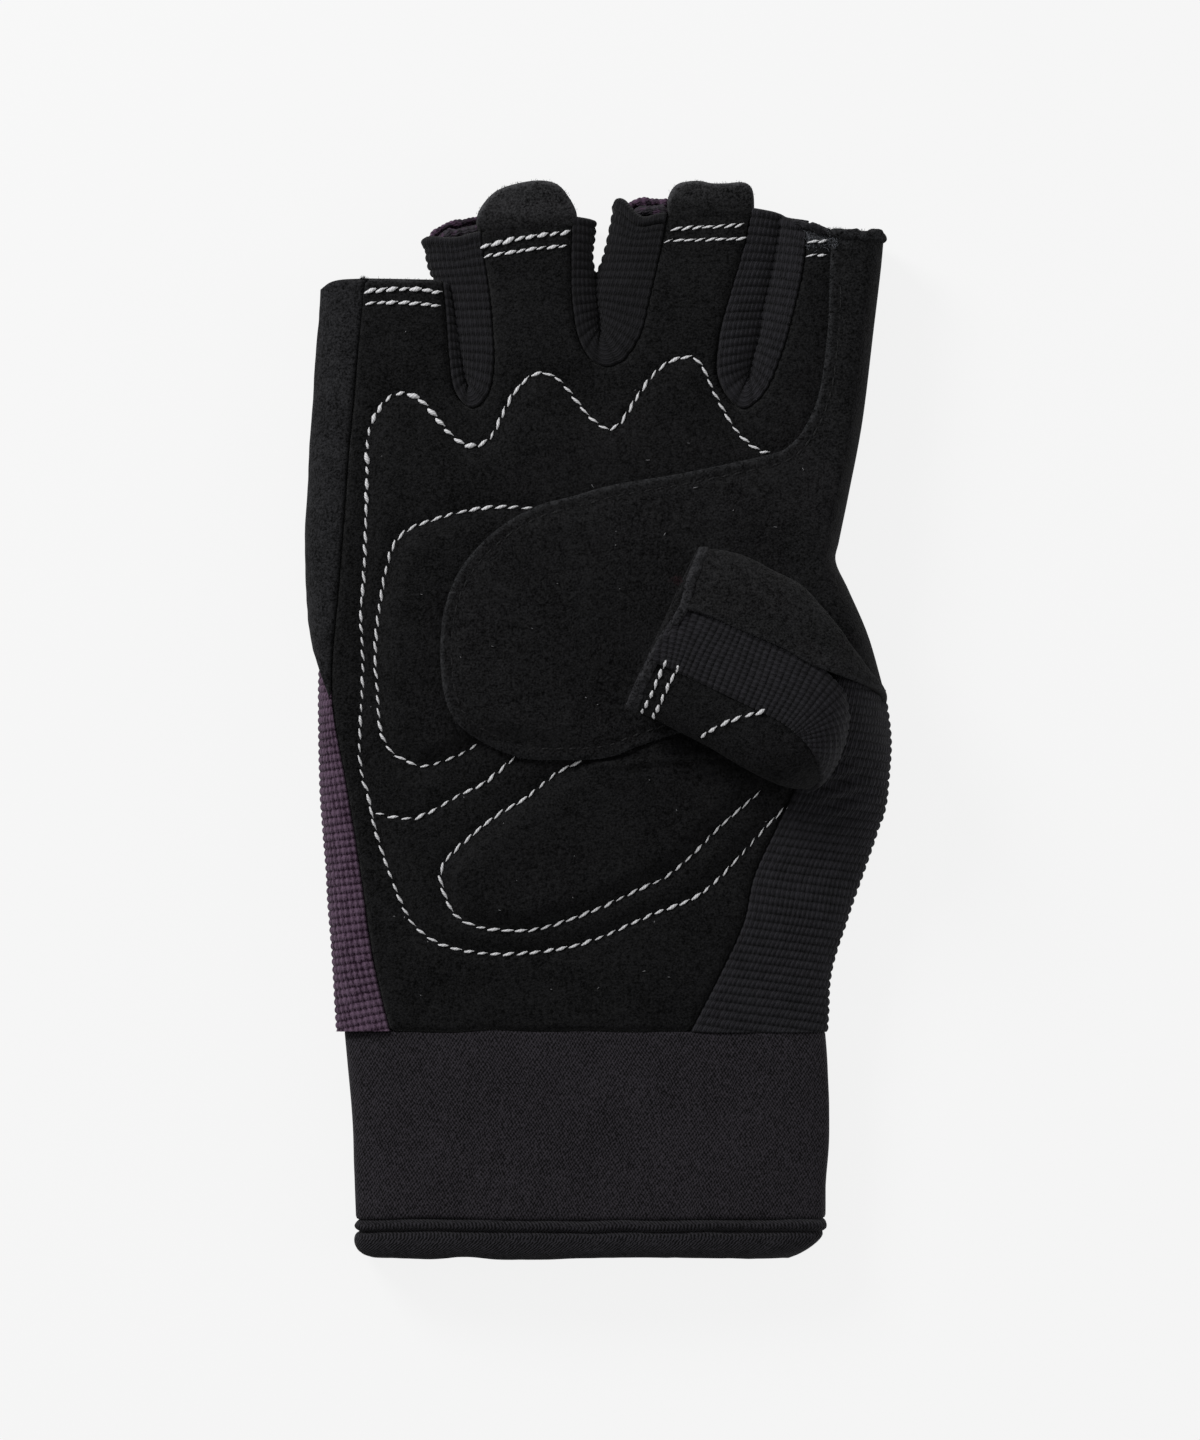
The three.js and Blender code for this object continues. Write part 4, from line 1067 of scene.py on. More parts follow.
grid, along, across, normal = side_wall(THUMB_SIDE_ROWS, THUMB_SIDE_STEP, top=thumb_side_top)
x, y = grid[..., 0], grid[..., 1]
rib_place = y + 0.14 * (x - 30) + 0.3 * soft_noise(x, y, 13.0, 23)
lift = (
    knit_relief(across, rib_place)
    - edge_drop(along, across, 0)
    + 0.14 * soft_noise(along, across, 7.0, 21)
    + 0.5 * bell(x - 42.5, 4.0, y + 12.0, 6.0) * np.sin(2 * np.pi * (y - 0.25 * x) / CREASE_SPACING)
)
thumb_side, _ = sewn_wall(
    "thumb_side_knit", grid, normal, lift, KNIT_WALL, (across, rib_place), shape=gather_at_cuff,
)
side_knit = knit_finish("thumb_side_knit", shade(KNIT_BLACK, 1.12))
dress(thumb_side, side_knit, "rib_knit", "thumb_side_panel")

# The thumb stall, folded flat over the palm: a suede face and a suede back with a rib knit
# gusset between them. It rises out of the web, bends over, and its open end points across
# the palm. Places round it are parts of the way: 0 its upper edge, 0.25 the top.
THUMB_ROWS = table(
    "lower upper z half lean back palm",
    ((5.3, 2.4), (16.6, 30.3), 23.2, 4.6, 0, 0.175, 0.335),
    ((11.5, -0.5), (22.3, 29.7), 23.2, 4.9, 0, 0.18, 0.34),
    ((17.9, -3.7), (29.3, 26.9), 23.2, 4.9, 0, 0.18, 0.34),
    ((24.1, -7.3), (35.3, 23.7), 23.2, 4.9, 0, 0.17, 0.335),
    ((29.3, -10.1), (40.1, 18.5), 23.1, 4.9, 5, 0.15, 0.325),
    ((33.2, -11.6), (42.9, 12.5), 22.5, 4.9, 16, 0.13, 0.335),
    ((35.0, -11.7), (42.8, 7.7), 20.9, 4.8, 38, 0.10, 0.375),
    ((35.5, -11.7), (42.0, 4.9), 18.0, 4.6, 62, 0.09, 0.43),
    ((34.4, -12.0), (41.6, 4.0), 14.6, 4.3, 82, 0.08, 0.47),
)
THUMB_BACK_ROWS = THUMB_ROWS[:5] + table(
    "lower upper z half lean back palm",
    ((33.7, -11.9), (44.1, 13.4), 22.5, 4.9, 16, 0.11, 0.4),
    ((38.5, -10.5), (46.7, 9.6), 20.2, 4.6, 35, 0.08, 0.4),
    ((42.6, -9.0), (48.7, 6.4), 15.8, 3.6, 58, 0.045, 0.4),
    ((44.2, -8.0), (49.6, 2.6), 11.0, 2.0, 75, 0.01, 0.4),
)
MOUTH_SHAPE = [
    (0.0, 1.25), (0.07, 1.25), (0.13, 1.3), (0.18, 2.0), (0.225, 1.5), (0.27, 0.65), (0.32, 0.2),
    (0.4, -0.2), (0.5, -0.3), (0.85, 0.6), (1.0, 1.25),
]
GUSSET_MIDDLE = [
    (9.0, 15.6), (15.0, 14.6), (21.0, 12.0), (27.0, 9.4), (33.0, 6.8), (37.6, 4.0), (40.6, 0.4),
    (41.6, -4.2), (40.8, -8.6), (38.0, -12.0), (33.5, -14.2),
]
THUMB_LENGTH = 52.0
THUMB_STEP = 0.22
THUMB_UNDER_SEAM = 0.75
THUMB_SQUARENESS = 2.6
MOUTH_REACH = 5.0
SINK_HEIGHT = 14.0
BACK_LAP = 0.9
GUSSET_LAP = 0.5
GUSSET_FINER = 1.3
THUMB_RUBBED = (0.02, 0.02, 0.0215)


def thumb_loops(rows, count, reach=None, fine=240):
    """Loops round the thumb stall, from its open end to its root, and its seams there."""
    smooth_rows = smooth_line([np.hstack(list(row.values())) for row in rows], 1200)
    middles = np.column_stack([(smooth_rows[:, :2] + smooth_rows[:, 2:4]) / 2, smooth_rows[:, 4]])
    run = run_along(middles)
    stops = np.linspace(0, reach or run[-1], count)
    sections = read_off(stops, run, smooth_rows)
    lower, upper, (z, half, lean, back, palm) = sections[:, :2], sections[:, 2:4], sections[:, 4:].T
    middle = np.column_stack([(lower + upper) / 2, z])
    wide = np.column_stack([(upper - lower) / 2, np.zeros(count)])
    wide_way = unit(wide)
    outward = np.column_stack([wide_way[:, 1], -wide_way[:, 0], np.zeros(count)])
    lean = np.radians(lean)[:, None]
    tall_way = np.array([[0, 0, 1]]) * np.cos(lean) + outward * np.sin(lean)
    angle = np.linspace(0, 2 * np.pi, fine + 1)
    bow = lambda value: np.sign(value) * np.abs(value) ** (2 / THUMB_SQUARENESS)
    loops = (
        middle[:, None]
        + wide[:, None] * bow(np.cos(angle))[None, :, None]
        + (tall_way * half[:, None])[:, None] * bow(np.sin(angle))[None, :, None]
    )
    around = run_along(loops[0])
    mouth = np.interp(around / around[-1], *np.array(MOUTH_SHAPE).T)
    loops += (np.exp(-stops / MOUTH_REACH)[:, None] * mouth[None])[..., None] * outward[:1, None]
    return loops, back, palm, stops


def settle(points):
    """Lets the lower end of the stall's root sink down onto the side of the hand."""
    low = bell(points[..., 0] - 39.5, 7.0, points[..., 1] + 15.0, 5.5)
    points[..., 2] = SINK_HEIGHT + (points[..., 2] - SINK_HEIGHT) * (1 - 0.6 * low)
    return points


def thumb_strip(rows, start, end, start_gap, end_gap, step_across, stride=4):
    """One lengthwise strip of the stall: grid, distances along and across, normals, width.

    A gap under 0 lets the strip lap over its neighbour.
    """
    count = fitting_count(THUMB_LENGTH, THUMB_STEP, stride)
    loops, back_seam, palm_seam, stops = thumb_loops(rows, count)
    seams = {"back": back_seam, "palm": palm_seam}
    runs = np.stack([run_along(loop) for loop in loops])
    total = runs[:, -1]
    first = seams.get(start, start) * total + start_gap
    last = seams.get(end, end) * total - end_gap
    across_count = fitting_count((last - first).max(), step_across, stride)
    part = np.linspace(0, 1, across_count)
    spots = np.mod(first[:, None] + part * (last - first)[:, None], total[:, None])
    grid = np.stack([read_off(*row) for row in zip(spots, runs, loops)])
    across = part[None] * (last - first)[:, None]
    along = np.repeat(stops[:, None], across_count, axis=1)
    normal = grid_normals(grid)
    if np.sum(normal * (grid - loops.mean(axis=1)[:, None])) < 0:
        normal = -normal
    return grid, along, across, normal, (last - first)[:, None]


def run_beside(x, y, line):
    """How far along a line the nearest place to each point lies, and how far beside it."""
    distance, near_x, near_y = nearest_on(x, y, line)
    gap = np.hypot(near_x[..., None] - line[:, 0], near_y[..., None] - line[:, 1])
    closest = np.argmin(gap, axis=-1)
    step = unit(np.gradient(line, axis=0))[closest]
    ahead = (near_x - line[closest, 0]) * step[..., 0] + (near_y - line[closest, 1]) * step[..., 1]
    side = (y - near_y) * step[..., 0] - (x - near_x) * step[..., 1]
    return run_along(line)[closest] + ahead, np.sign(side) * distance


thumb_suede = suede_finish("suede_thumb", (0.0072, 0.0072, 0.0075), THUMB_RUBBED)
grid, along, across, normal, width = thumb_strip(
    THUMB_BACK_ROWS, THUMB_UNDER_SEAM - 1, "back", 0.1, -BACK_LAP, 0.4,
)
to_cut = width - across
lift = (
    0.35 * (1 - smoothstep(to_cut, 0.5, 3.5))
    - turned_edge(to_cut, 0.3)
    - turned_edge(along, 0.5)
    + 0.22 * soft_noise(along, across, 6.0, 31)
    + 0.06 * soft_noise(along, across, 1.8, 32)
)
thumb_back, thumb_back_outer = sewn_wall(
    "thumb_back_suede", grid, normal, lift, SUEDE_WALL, (across, along), shape=settle,
    rub=1 - smoothstep(to_cut, 0.1, 0.7),
)
dress(thumb_back, thumb_suede, "suede", "thumb_back")

# The ribs of the gusset run across it, and fan out where it turns down to the hand
grid, along, across, normal, width = thumb_strip(THUMB_ROWS, "back", "palm", 0.1, -GUSSET_LAP, 0.2)
rib_place, wale_place = run_beside(grid[..., 0], grid[..., 1], even_line(GUSSET_MIDDLE, 0.25))
rib_place = GUSSET_FINER * (rib_place + 0.3 * soft_noise(along, across, 6.0, 34))
wale_place = wale_place + 0.2 * soft_noise(along, across, 5.0, 40)
lift = (
    knit_relief(wale_place, rib_place, 0.34, 0.26)
    - 0.5 * (1 - smoothstep(across, 0.0, 2.4))
    + 0.4 * smoothstep(across, 2.0, 7.0)
    - turned_edge(width - across, 0.9)
    - turned_edge(along, 0.6)
    + 0.16 * soft_noise(along, across, 5.0, 33)
)
thumb_gusset, gusset_outer = sewn_wall(
    "thumb_gusset_knit", grid, normal, lift, KNIT_WALL, (wale_place, rib_place), shape=settle,
)
thumb_tops = [(gusset_outer, normal)]
dress(thumb_gusset, black_knit, "rib_knit", "thumb_gusset")

grid, along, across, normal, _ = thumb_strip(THUMB_ROWS, "palm", THUMB_UNDER_SEAM, 0.1, 0.1, 0.4)
lift = (
    -0.4 * (1 - smoothstep(across, 0.0, 3.0))
    - turned_edge(across, 0.5)
    - turned_edge(along, 0.5)
    + 0.14 * soft_noise(along, across, 6.0, 35)
    + 0.05 * soft_noise(along, across, 1.8, 36)
)
face_outer = settle(grid + normal * lift[..., None])
# The face is lighter along part of its lower fold near the mouth, at the height where its side stands
# upright.
low_edge = bell(face_outer[..., 2] - 22.6, 0.9) * (face_outer[..., 1] < 8) * (along < 19)
thumb_face, _ = sewn_wall(
    "thumb_face_suede", grid, normal, lift, SUEDE_WALL, (across, along), shape=settle, rub=low_edge,
)
thumb_tops.append((face_outer, normal))
suede_face = suede_finish("suede_face", (0.0049, 0.0049, 0.0052), THUMB_RUBBED)
dress(thumb_face, suede_face, "suede", "thumb_palm")

# The stall's mouth is turned back on itself and overlocked, so a soft, frayed band runs
# round it. It is the same suede, worn lighter at its edges.
BAND_WIDTH = 2.8
BAND_LIFT = 0.32
BAND_WALL = 0.6
BAND_OVERHANG = 0.3
BAND_NARROWS = [(0, 1.0), (0.16, 1.0), (0.22, 0.85), (0.33, 0.72), (0.5, 0.85), (0.8, 0.9), (1, 1.0)]


def outward(grid):
    """Normals of a tube's rings that point away from its middle."""
    normal = grid_normals(grid, closed=True)
    return normal if np.sum(normal * (grid - grid.mean(axis=1, keepdims=True))) > 0 else -normal


loops, _, _, stops = thumb_loops(THUMB_ROWS, 13, BAND_WIDTH, 400)
loops = loops[:, :-1]
around = np.linalg.norm(np.diff(loops, axis=1, append=loops[:, :1]), axis=2).cumsum(axis=1)
narrow = np.interp(around[0] / around[0, -1], *np.array(BAND_NARROWS).T)
band_along = stops[:, None] * narrow[None]
loops = loops[:1] + (loops[-1:] - loops[:1]) * (band_along / BAND_WIDTH)[..., None]
band_middle = loops.mean(axis=1, keepdims=True)
band_normal = outward(loops)
loops = loops - BAND_OVERHANG * unit((band_middle[-1] - band_middle[0])[0])
band_part = np.repeat(2 * stops[:, None] / BAND_WIDTH - 1, loops.shape[1], axis=1)
lift = (
    BAND_LIFT * (1 - band_part**4)
    - 0.35 * smoothstep(band_part, 0.6, 1.0)
    + 0.2 * soft_noise(around, band_along, 1.2, 37)
    + 0.16 * soft_noise(around, band_along, 4.0, 38)
)
mouth_band, band_outer = sewn_wall(
    "thumb_mouth_band", loops, band_normal, lift, BAND_WALL, (around, band_along), closed=True,
    rub=0.62 - 0.3 * band_part + 0.45 * soft_noise(around, band_along, 0.9, 39),
)
frayed_suede = suede_finish("suede_frayed", (0.0085, 0.0085, 0.009), (0.027, 0.027, 0.0295))
dress(mouth_band, frayed_suede, "suede")

# The cuff: a tube of smooth stretch knit, with a narrow piping and a soft hem rolled at its
# mouth. It lies flattened, and the hand goes in through it.
CUFF_WALL = 1.5
HEM_WALL = 1.9
CUFF_TOP_SQUARENESS = 3.2
CUFF_FLOOR_SQUARENESS = 9.0
CUFF_AROUND = 480
CUFF_START, CUFF_END = -54.2, -87.5
CUFF_ROWS = table(
    "y left right low high",
    (CUFF_START, -44.4, 40.0, 0.3, 12.6), (-61.0, -43.8, 40.5, 0.3, 12.6),
    (-72.0, -42.9, 40.7, 0.3, 12.2), (-80.0, -42.7, 40.2, 0.3, 11.9),
    (CUFF_END, -42.4, 39.9, 0.3, 11.6),
)
PIPING_ROWS = table(
    "y left right low high",
    (-87.1, -41.6, 39.2, 1.0, 10.7), (-87.8, -42.5, 40.1, 0.2, 11.8),
    (-88.4, -42.8, 40.3, 0.0, 12.1), (-89.0, -42.5, 40.1, 0.2, 11.8),
    (-89.6, -41.6, 39.2, 1.0, 10.7),
)
HEM_ROWS = table(
    "y left right low high",
    (-89.2, -41.4, 39.0, 1.0, 10.7), (-90.0, -42.5, 39.6, 0.2, 11.9),
    (-91.2, -42.8, 38.9, 0.0, 12.3), (-92.6, -42.5, 37.2, 0.0, 12.3),
    (-93.6, -41.4, 35.3, 0.3, 11.9), (-94.2, -39.6, 33.6, 1.1, 11.2),
)


def sleeve_grid(rows, count, fine=600):
    """Rings of a flattened tube through rows, its normals, and how far along and round each is."""
    smooth_rows = smooth_line([list(row.values()) for row in rows], count - 1)
    angle = np.linspace(0, 2 * np.pi, fine + 1)
    cosine, sine = np.cos(angle), np.sin(angle)
    squareness = np.where(sine < 0, CUFF_FLOOR_SQUARENESS, CUFF_TOP_SQUARENESS)
    bow = lambda value: np.sign(value) * np.abs(value) ** (2 / squareness)
    grid, round_it = np.zeros((count, CUFF_AROUND, 3)), np.zeros((count, CUFF_AROUND))
    for k, (y, left, right, low, high) in enumerate(smooth_rows):
        loop = np.column_stack([
            (left + right) / 2 + (right - left) / 2 * bow(cosine), np.full(fine + 1, y),
            (low + high) / 2 + (high - low) / 2 * bow(sine),
        ])
        run = run_along(loop)
        round_it[k] = np.linspace(0, run[-1], CUFF_AROUND + 1)[:-1]
        grid[k] = read_off(round_it[k], run, loop)
    return grid, outward(grid), np.repeat(-smooth_rows[:, :1], CUFF_AROUND, axis=1), round_it


def stretch_knit_finish(name, colour, gather_shading=False):
    """Smooth stretch knit: a fine, slightly zigzag grain, with gathers where it is sewn, their fine
    stripes painted shade and light as well as relief.
    """
    material = new_material(name)
    place, around, along = places(material)

    def wave(socket, pitch):
        return maths(material, "SINE", maths(material, "MULTIPLY", socket, 2 * math.pi / pitch))

    drift = noise(material, place, 420.0, 2.0)
    zigzag = weighted_sum(material, (around, 1.0), (drift, 1.1))
    climb = weighted_sum(material, (along, 1.0), (around, 0.2), (drift, 0.9))
    grain = maths(material, "MULTIPLY", wave(zigzag, 0.57), wave(climb, 0.9))
    parts = [
        (grain, 0.5),
        (noise(material, place, 1900.0, 2.0, 0.7), 1.9),
        (noise(material, place, 75.0), 0.35),
    ]
    # Fine stripes round the ring, in colour as well as relief: painted shade and light of the gathers.
    if gather_shading:
        parts.append((wave(around, 0.66), 0.45))
    mixed = weighted_sum(material, *parts)
    tone = remap(material, mixed, 0.72, 1.53)
    tint = blend(material, tone, shade(colour, 0.15), shade(colour, 1.85))
    show_cloth(material, tint, mixed, 0.2, 0.9, 0.06, 0.02)
    return material


def sleeve(name, node, grid, normal, lift, wall, uv, material, slide=0.0):
    """One ring of the cuff, dressed."""
    piece, _ = sewn_wall(
        name, grid, normal, lift, wall, uv, shape=gather_at_cuff, slide=slide, closed=True,
    )
    dress(piece, material, "cuff_knit", node)
    return piece


cuff_knit = stretch_knit_finish("stretch_knit", (0.0122, 0.0109, 0.0131))
gathered_knit = stretch_knit_finish("gathered_knit", (0.0092, 0.0087, 0.0102), gather_shading=True)
grid, normal, along, round_it = sleeve_grid(CUFF_ROWS, 73)
lift = (
    -turned_edge(along + CUFF_START, 0.8)
    - turned_edge(-CUFF_END - along, 0.9)
    + 0.2 * soft_noise(round_it, along, 12.0, 41)
    + 0.07 * soft_noise(round_it, along * 0.35, 2.6, 42)
)
cuff = sleeve("stretch_cuff", "cuff", grid, normal, lift, CUFF_WALL, (round_it, along), cuff_knit)

grid, normal, along, round_it = sleeve_grid(PIPING_ROWS, 13)
piping = sleeve(
    "cuff_edge_piping", "cuff_piping", grid, normal, 0.12 * soft_noise(round_it, along, 7.0, 43),
    CUFF_WALL, (round_it, along), gathered_knit, 0.2 * soft_noise(grid[..., 0], grid[..., 2], 6.0, 45),
)

grid, normal, along, round_it = sleeve_grid(HEM_ROWS, 25)
lift = 0.18 * soft_noise(round_it, along, 5.0, 44) + 0.06 * soft_noise(round_it, along, 1.6, 47)
hem_sway = 0.28 * soft_noise(grid[..., 0], grid[..., 2], 7.0, 46) * smoothstep(along, 90.5, 93.5)
hem = sleeve(
    "rolled_hem", "cuff_hem", grid, normal, lift, HEM_WALL, (round_it, along), gathered_knit, hem_sway,
)

# The pull tabs: folded loops of suede at the tips of the ring and middle fingers, which
# help to pull the glove off. They get lighter towards their folded tops: partly worn nap,
# partly a painted highlight on the fold; the middle tab's darker lower part is painted shade.
TAB_THICKNESS = 2.4
TAB_STEP = 0.3
RING_TAB = [
    (-20.8, 85.4), (-21.3, 87.8), (-20.3, 90.4), (-17.7, 93.0), (-13.9, 94.3), (-10.1, 94.8),
    (-7.2, 94.2), (-5.3, 92.3), (-3.7, 89.3), (-3.7, 86.4),
]
MIDDLE_TAB = [
    (12.6, 87.9), (12.2, 90.3), (12.6, 92.4), (13.8, 94.0), (15.7, 94.6), (18.0, 94.7),
    (20.0, 94.3), (22.5, 94.3), (25.2, 94.5), (26.7, 93.9), (27.4, 92.2), (27.5, 88.0),
]
# Each tab's suede lightens up towards its folded top, between two heights: partly worn nap, partly a
# painted highlight on the fold. The middle tab's darker base is painted shade under its fold.
TABS = table(
    "node piece outline worn worn_from worn_to base",
    ("ring_tab", "ring_pull_tab", RING_TAB, 0.012, 0.0855, 0.0905, 1.0),
    ("middle_tab", "middle_pull_tab", MIDDLE_TAB, 0.0108, 0.0885, 0.0928, 0.8),
)


def worn_and_lit_suede_finish(name, colour, worn_and_lit_colour, start, end):
    """Palm suede that gets lighter towards the end of a tab: partly where fingers rub it, partly a
    painted highlight on the tab's fold.
    """
    material = suede_finish(name, colour)
    shader = next(n for n in material.node_tree.nodes if n.type == "BSDF_PRINCIPLED")
    place = add_node(material, "TexCoord").outputs["Object"]
    towards_tip = add_node(material, "SeparateXYZ", {0: place}).outputs["Y"]
    # This ramp up the tab is partly wear and partly a painted highlight on the fold.
    worn = remap(material, towards_tip, start, end, interpolation_type="SMOOTHSTEP")
    times = remap(material, worn, 0.0, 1.0, 1.0, worn_and_lit_colour / colour[0])
    palm_tint = shader.inputs["Base Color"].links[0].from_socket
    tint = add_node(material, "VectorMath", {0: palm_tint, "Scale": times}, operation="SCALE")
    material.node_tree.links.new(tint.outputs[0], shader.inputs["Base Color"])
    return material


for seed, tab in enumerate(TABS):
    free_edge = smooth_line(tab["outline"], 80)
    flat_points, cells, rim = cut_sheet(free_edge, TAB_STEP, TAB_STEP)
    x, y = flat_points.T
    depth = nearest_on(x, y, free_edge)[0]
    round_edge = np.minimum(depth / (TAB_THICKNESS / 2), 1)
    half = TAB_THICKNESS / 2 * np.sqrt(1 - (1 - round_edge) ** 2)
    middle_z = palm_top(x, y) - TAB_THICKNESS / 2
    swell = skin_swell(x, y) + 0.25 * smoothstep(y, 88.0, 92.0) * soft_noise(x, y, 4.0, 51 + seed)
    top = np.column_stack([x, y, middle_z + half + swell])
    bottom = np.column_stack([x, y, middle_z - half])
    top[rim, 2] = (middle_z + swell)[rim]
    keep = np.arange(len(x)) + np.where(rim, 0, len(x))
    rub = smoothstep(y, 86.0, 89.0) * (1 - smoothstep(depth, 0.1, 0.9))
    piece = make_mesh(
        tab["piece"], np.concatenate([top, bottom]),
        cells.tolist() + keep[cells][:, ::-1].tolist(), np.concatenate([flat_points] * 2),
        np.concatenate([rub, rub]),
    )
    # A tab's base colour; the middle tab's is darker, as painted shade under its fold.
    base = shade((SUEDE_BLACK, SUEDE_BLACK, SUEDE_BLACK * 1.05), tab["base"])
    tab_suede = worn_and_lit_suede_finish(
        tab["piece"] + "_suede", base, tab["worn"], tab["worn_from"], tab["worn_to"],
    )
    dress(piece, tab_suede, "suede", tab["node"])

# The white stitching: thick two-ply thread in long, slightly slanting stitches, which
# quilts the palm and holds the hems of the finger tips and the thumb.
THREAD = 0.26
STITCH_PITCH = 2.32
STITCH_SLANT = 0.2
STITCH_PARTS = np.array([0.02, 0.1, 0.22, 0.36, 0.5, 0.63, 0.76, 0.88, 0.98])
STITCH_SIDES = 7
ABOVE_SEAM = 0.1
TIP_LINES = [
    (1.58, [(-41.1, 75.2), (-36.3, 75.6), (-31.1, 75.6), (-27.2, 74.9)]),
    (1.24, [(-41.0, 73.1), (-36.0, 73.3), (-31.4, 73.1), (-27.4, 72.6)]),
    (1.45, [(-20.8, 83.0), (-17.1, 83.8), (-13.6, 84.5), (-9.2, 85.2), (-4.7, 85.6)]),
    (1.08, [(-20.2, 81.4), (-14.1, 82.2), (-10.6, 82.8), (-5.3, 83.2)]),
    (0.77, [(12.6, 86.1), (16.0, 86.4), (20.4, 86.6), (25.8, 86.9)]),
    (0.77, [(11.3, 84.0), (13.9, 84.2), (17.9, 84.3), (26.1, 84.5)]),
    (0.93, [(36.6, 84.0), (40.6, 84.1)]),
    (0.93, [(36.4, 81.6), (40.3, 81.6)]),
]
THUMB_LINES = [
    [(12.0, 10.5), (10.9, 8.3), (10.1, 6.4), (9.1, 4.0), (7.5, 1.2)],
    [(14.2, 9.8), (13.0, 7.5), (12.0, 5.5), (10.9, 3.0), (9.5, 0.3)],
    [(17.6, -3.0), (19.7, -1.6), (22.1, -0.3), (26.0, 1.0), (29.3, 1.8)],
]


def stitch_faces():
    """Faces of one stitch: its rings of sides, closed by a pole at each end."""
    rings, sides = len(STITCH_PARTS), STITCH_SIDES
    faces = []
    for i in range(rings - 1):
        for j in range(sides):
            k = (j + 1) % sides
            faces.append((i * sides + j, i * sides + k, (i + 1) * sides + k, (i + 1) * sides + j))
    pole, last = rings * sides, (rings - 1) * sides
    faces += [(pole, (j + 1) % sides, j) for j in range(sides)]
    return faces + [(pole + 1, last + j, last + (j + 1) % sides) for j in range(sides)]


def stitches_along(path, normals, pitch, fill, thread, slant, rng, tight):
    """Points and UVs of stitches along a path: plump, twisted, ends sunk in their holes."""
    run = run_along(path)
    t = STITCH_PARTS
    phi = np.arange(STITCH_SIDES) * 2 * np.pi / STITCH_SIDES
    points, uv = [], []
    count = max(2, int(round(run[-1] / pitch)))
    spread = run[-1] / count
    for number in range(count):
        full = 1 - 0.34 * rng.uniform() ** 3
        length = spread * fill * full * rng.uniform(0.96, 1.04)
        start = number * spread + (spread * fill - length) / 2 + rng.uniform(-0.1, 0.1)
        ends = read_off(np.array([start, start + length]), run, path)
        up = unit(read_off(start + length / 2, run, normals))
        way = unit(ends[1] - ends[0])
        side = np.cross(up, way)
        thick = thread * full * rng.uniform(0.84, 1.16) * tight(*ends.mean(axis=0)[:2])
        tilt = slant * rng.uniform(0.5, 1.5)
        body = rng.uniform(0.7, 1.05)
        spine = (
            ends[0][None] + np.outer(t, ends[1] - ends[0])
            + np.outer((t - 0.5) * length * tilt, side)
            + np.outer(thick * (1.5 * np.sin(np.pi * t) ** 0.6 - 1.0), up)
        )
        plump = np.maximum(np.sin(np.pi * np.minimum(t / body, 1)), 0.0) ** 0.6
        tail = 0.36 * np.maximum(np.sin(np.pi * t), 0.05) ** 0.3
        radius = thick * np.maximum(plump, tail)
        twist = phi[None] - 2 * np.pi * 0.9 * t[:, None]
        bulge = radius[:, None] * (1 + 0.16 * np.cos(2 * twist))
        ring = (
            spine[:, None] + (bulge * np.cos(phi)[None])[..., None] * side
            + (bulge * np.sin(phi)[None])[..., None] * up * 0.9
        )
        poles = ends - up * thick * 0.9
        poles += np.outer(np.array([-0.5, 0.5]) * length * tilt, side)
        points += [*ring.reshape(-1, 3), *poles]
        turns = np.stack([np.repeat(t * length, len(phi)), np.tile(phi, len(t))], 1)
        uv += [*(turns + (number * 3.7, 0)), (number * 3.7, 0), (number * 3.7 + length, 0)]
    return points, uv


def thread_finish(name, colour, gloss):
    """Twisted sewing thread: fine plies that run round it at a slant."""
    material = new_material(name)
    place, along, around = places(material)
    ply = maths(material, "SINE", weighted_sum(material, (along, 11.0), (around, 2.0)))
    mixed = weighted_sum(material, (ply, 0.3), (noise(material, place, 2500.0, 2.0), 1.0))
    tint = blend(material, remap(material, mixed, 0.1, 0.9), shade(colour, 0.5), colour)
    show_cloth(material, tint, mixed, 0.08, 0.6, gloss, 0.05)
    return material


def evenly(x, y):
    return 1.0


def tight_by_thumb(x, y):
    """The quilting thread is thinner where it runs in under the thumb, fuller at the left."""
    fuller = 0.6 * (1 - smoothstep(x, -24.0, -14.0)) * smoothstep(y, 35.0, 46.0)
    return 1 - 0.38 * smoothstep(x, 16.0, 29.0) * (y < 5) + fuller


def sew(
    name, paths, seed, fill, tight=evenly, pitch=STITCH_PITCH, thread=THREAD, slant=STITCH_SLANT,
    finish=None, slot="stitch_thread",
):
    """One piece of stitches along several paths, each with its normals and maybe a thickness."""
    rng = np.random.default_rng(seed)
    points, faces, uv = [], [], []
    for path, normals, *thicker in paths:
        new_points, new_uv = stitches_along(
            path, normals, pitch, fill, thread * (thicker or [1])[0], slant, rng, tight,
        )
        points += new_points
        uv += new_uv
    one_stitch = len(STITCH_PARTS) * STITCH_SIDES + 2
    for base in range(0, len(points), one_stitch):
        faces += [tuple(corner + base for corner in face) for face in stitch_faces()]
    dress(make_mesh(name, points, faces, uv), finish or white_thread, slot)


def palm_path(line):
    """A stitch line laid on the palm, and its normals."""
    flat = even_line(line, 0.5)
    rise = palm_top(*flat.T) - quilt_dip(*flat.T) + skin_swell(*flat.T)
    return np.column_stack([flat, rise + ABOVE_SEAM]), np.tile([0.0, 0.0, 1.0], (len(flat), 1))


thumb_points, thumb_normals = (
    np.concatenate([grids[part].reshape(-1, 3) for grids in thumb_tops]) for part in (0, 1)
)
seen = thumb_normals[:, 2] > 0.1
thumb_points, thumb_normals = thumb_points[seen], thumb_normals[seen]
thumb_tree = KDTree(len(thumb_points))
for number, (x, y, z) in enumerate(thumb_points):
    thumb_tree.insert((x, y, 0), number)
thumb_tree.balance()


def thumb_path(line):
    """A stitch line laid on the thumb stall's upper side, and its normals."""
    flat = even_line(line, 0.5)
    found = [thumb_tree.find((x, y, 0))[1] for x, y in flat]
    return np.column_stack([flat, thumb_points[found][:, 2] + ABOVE_SEAM]), thumb_normals[found]


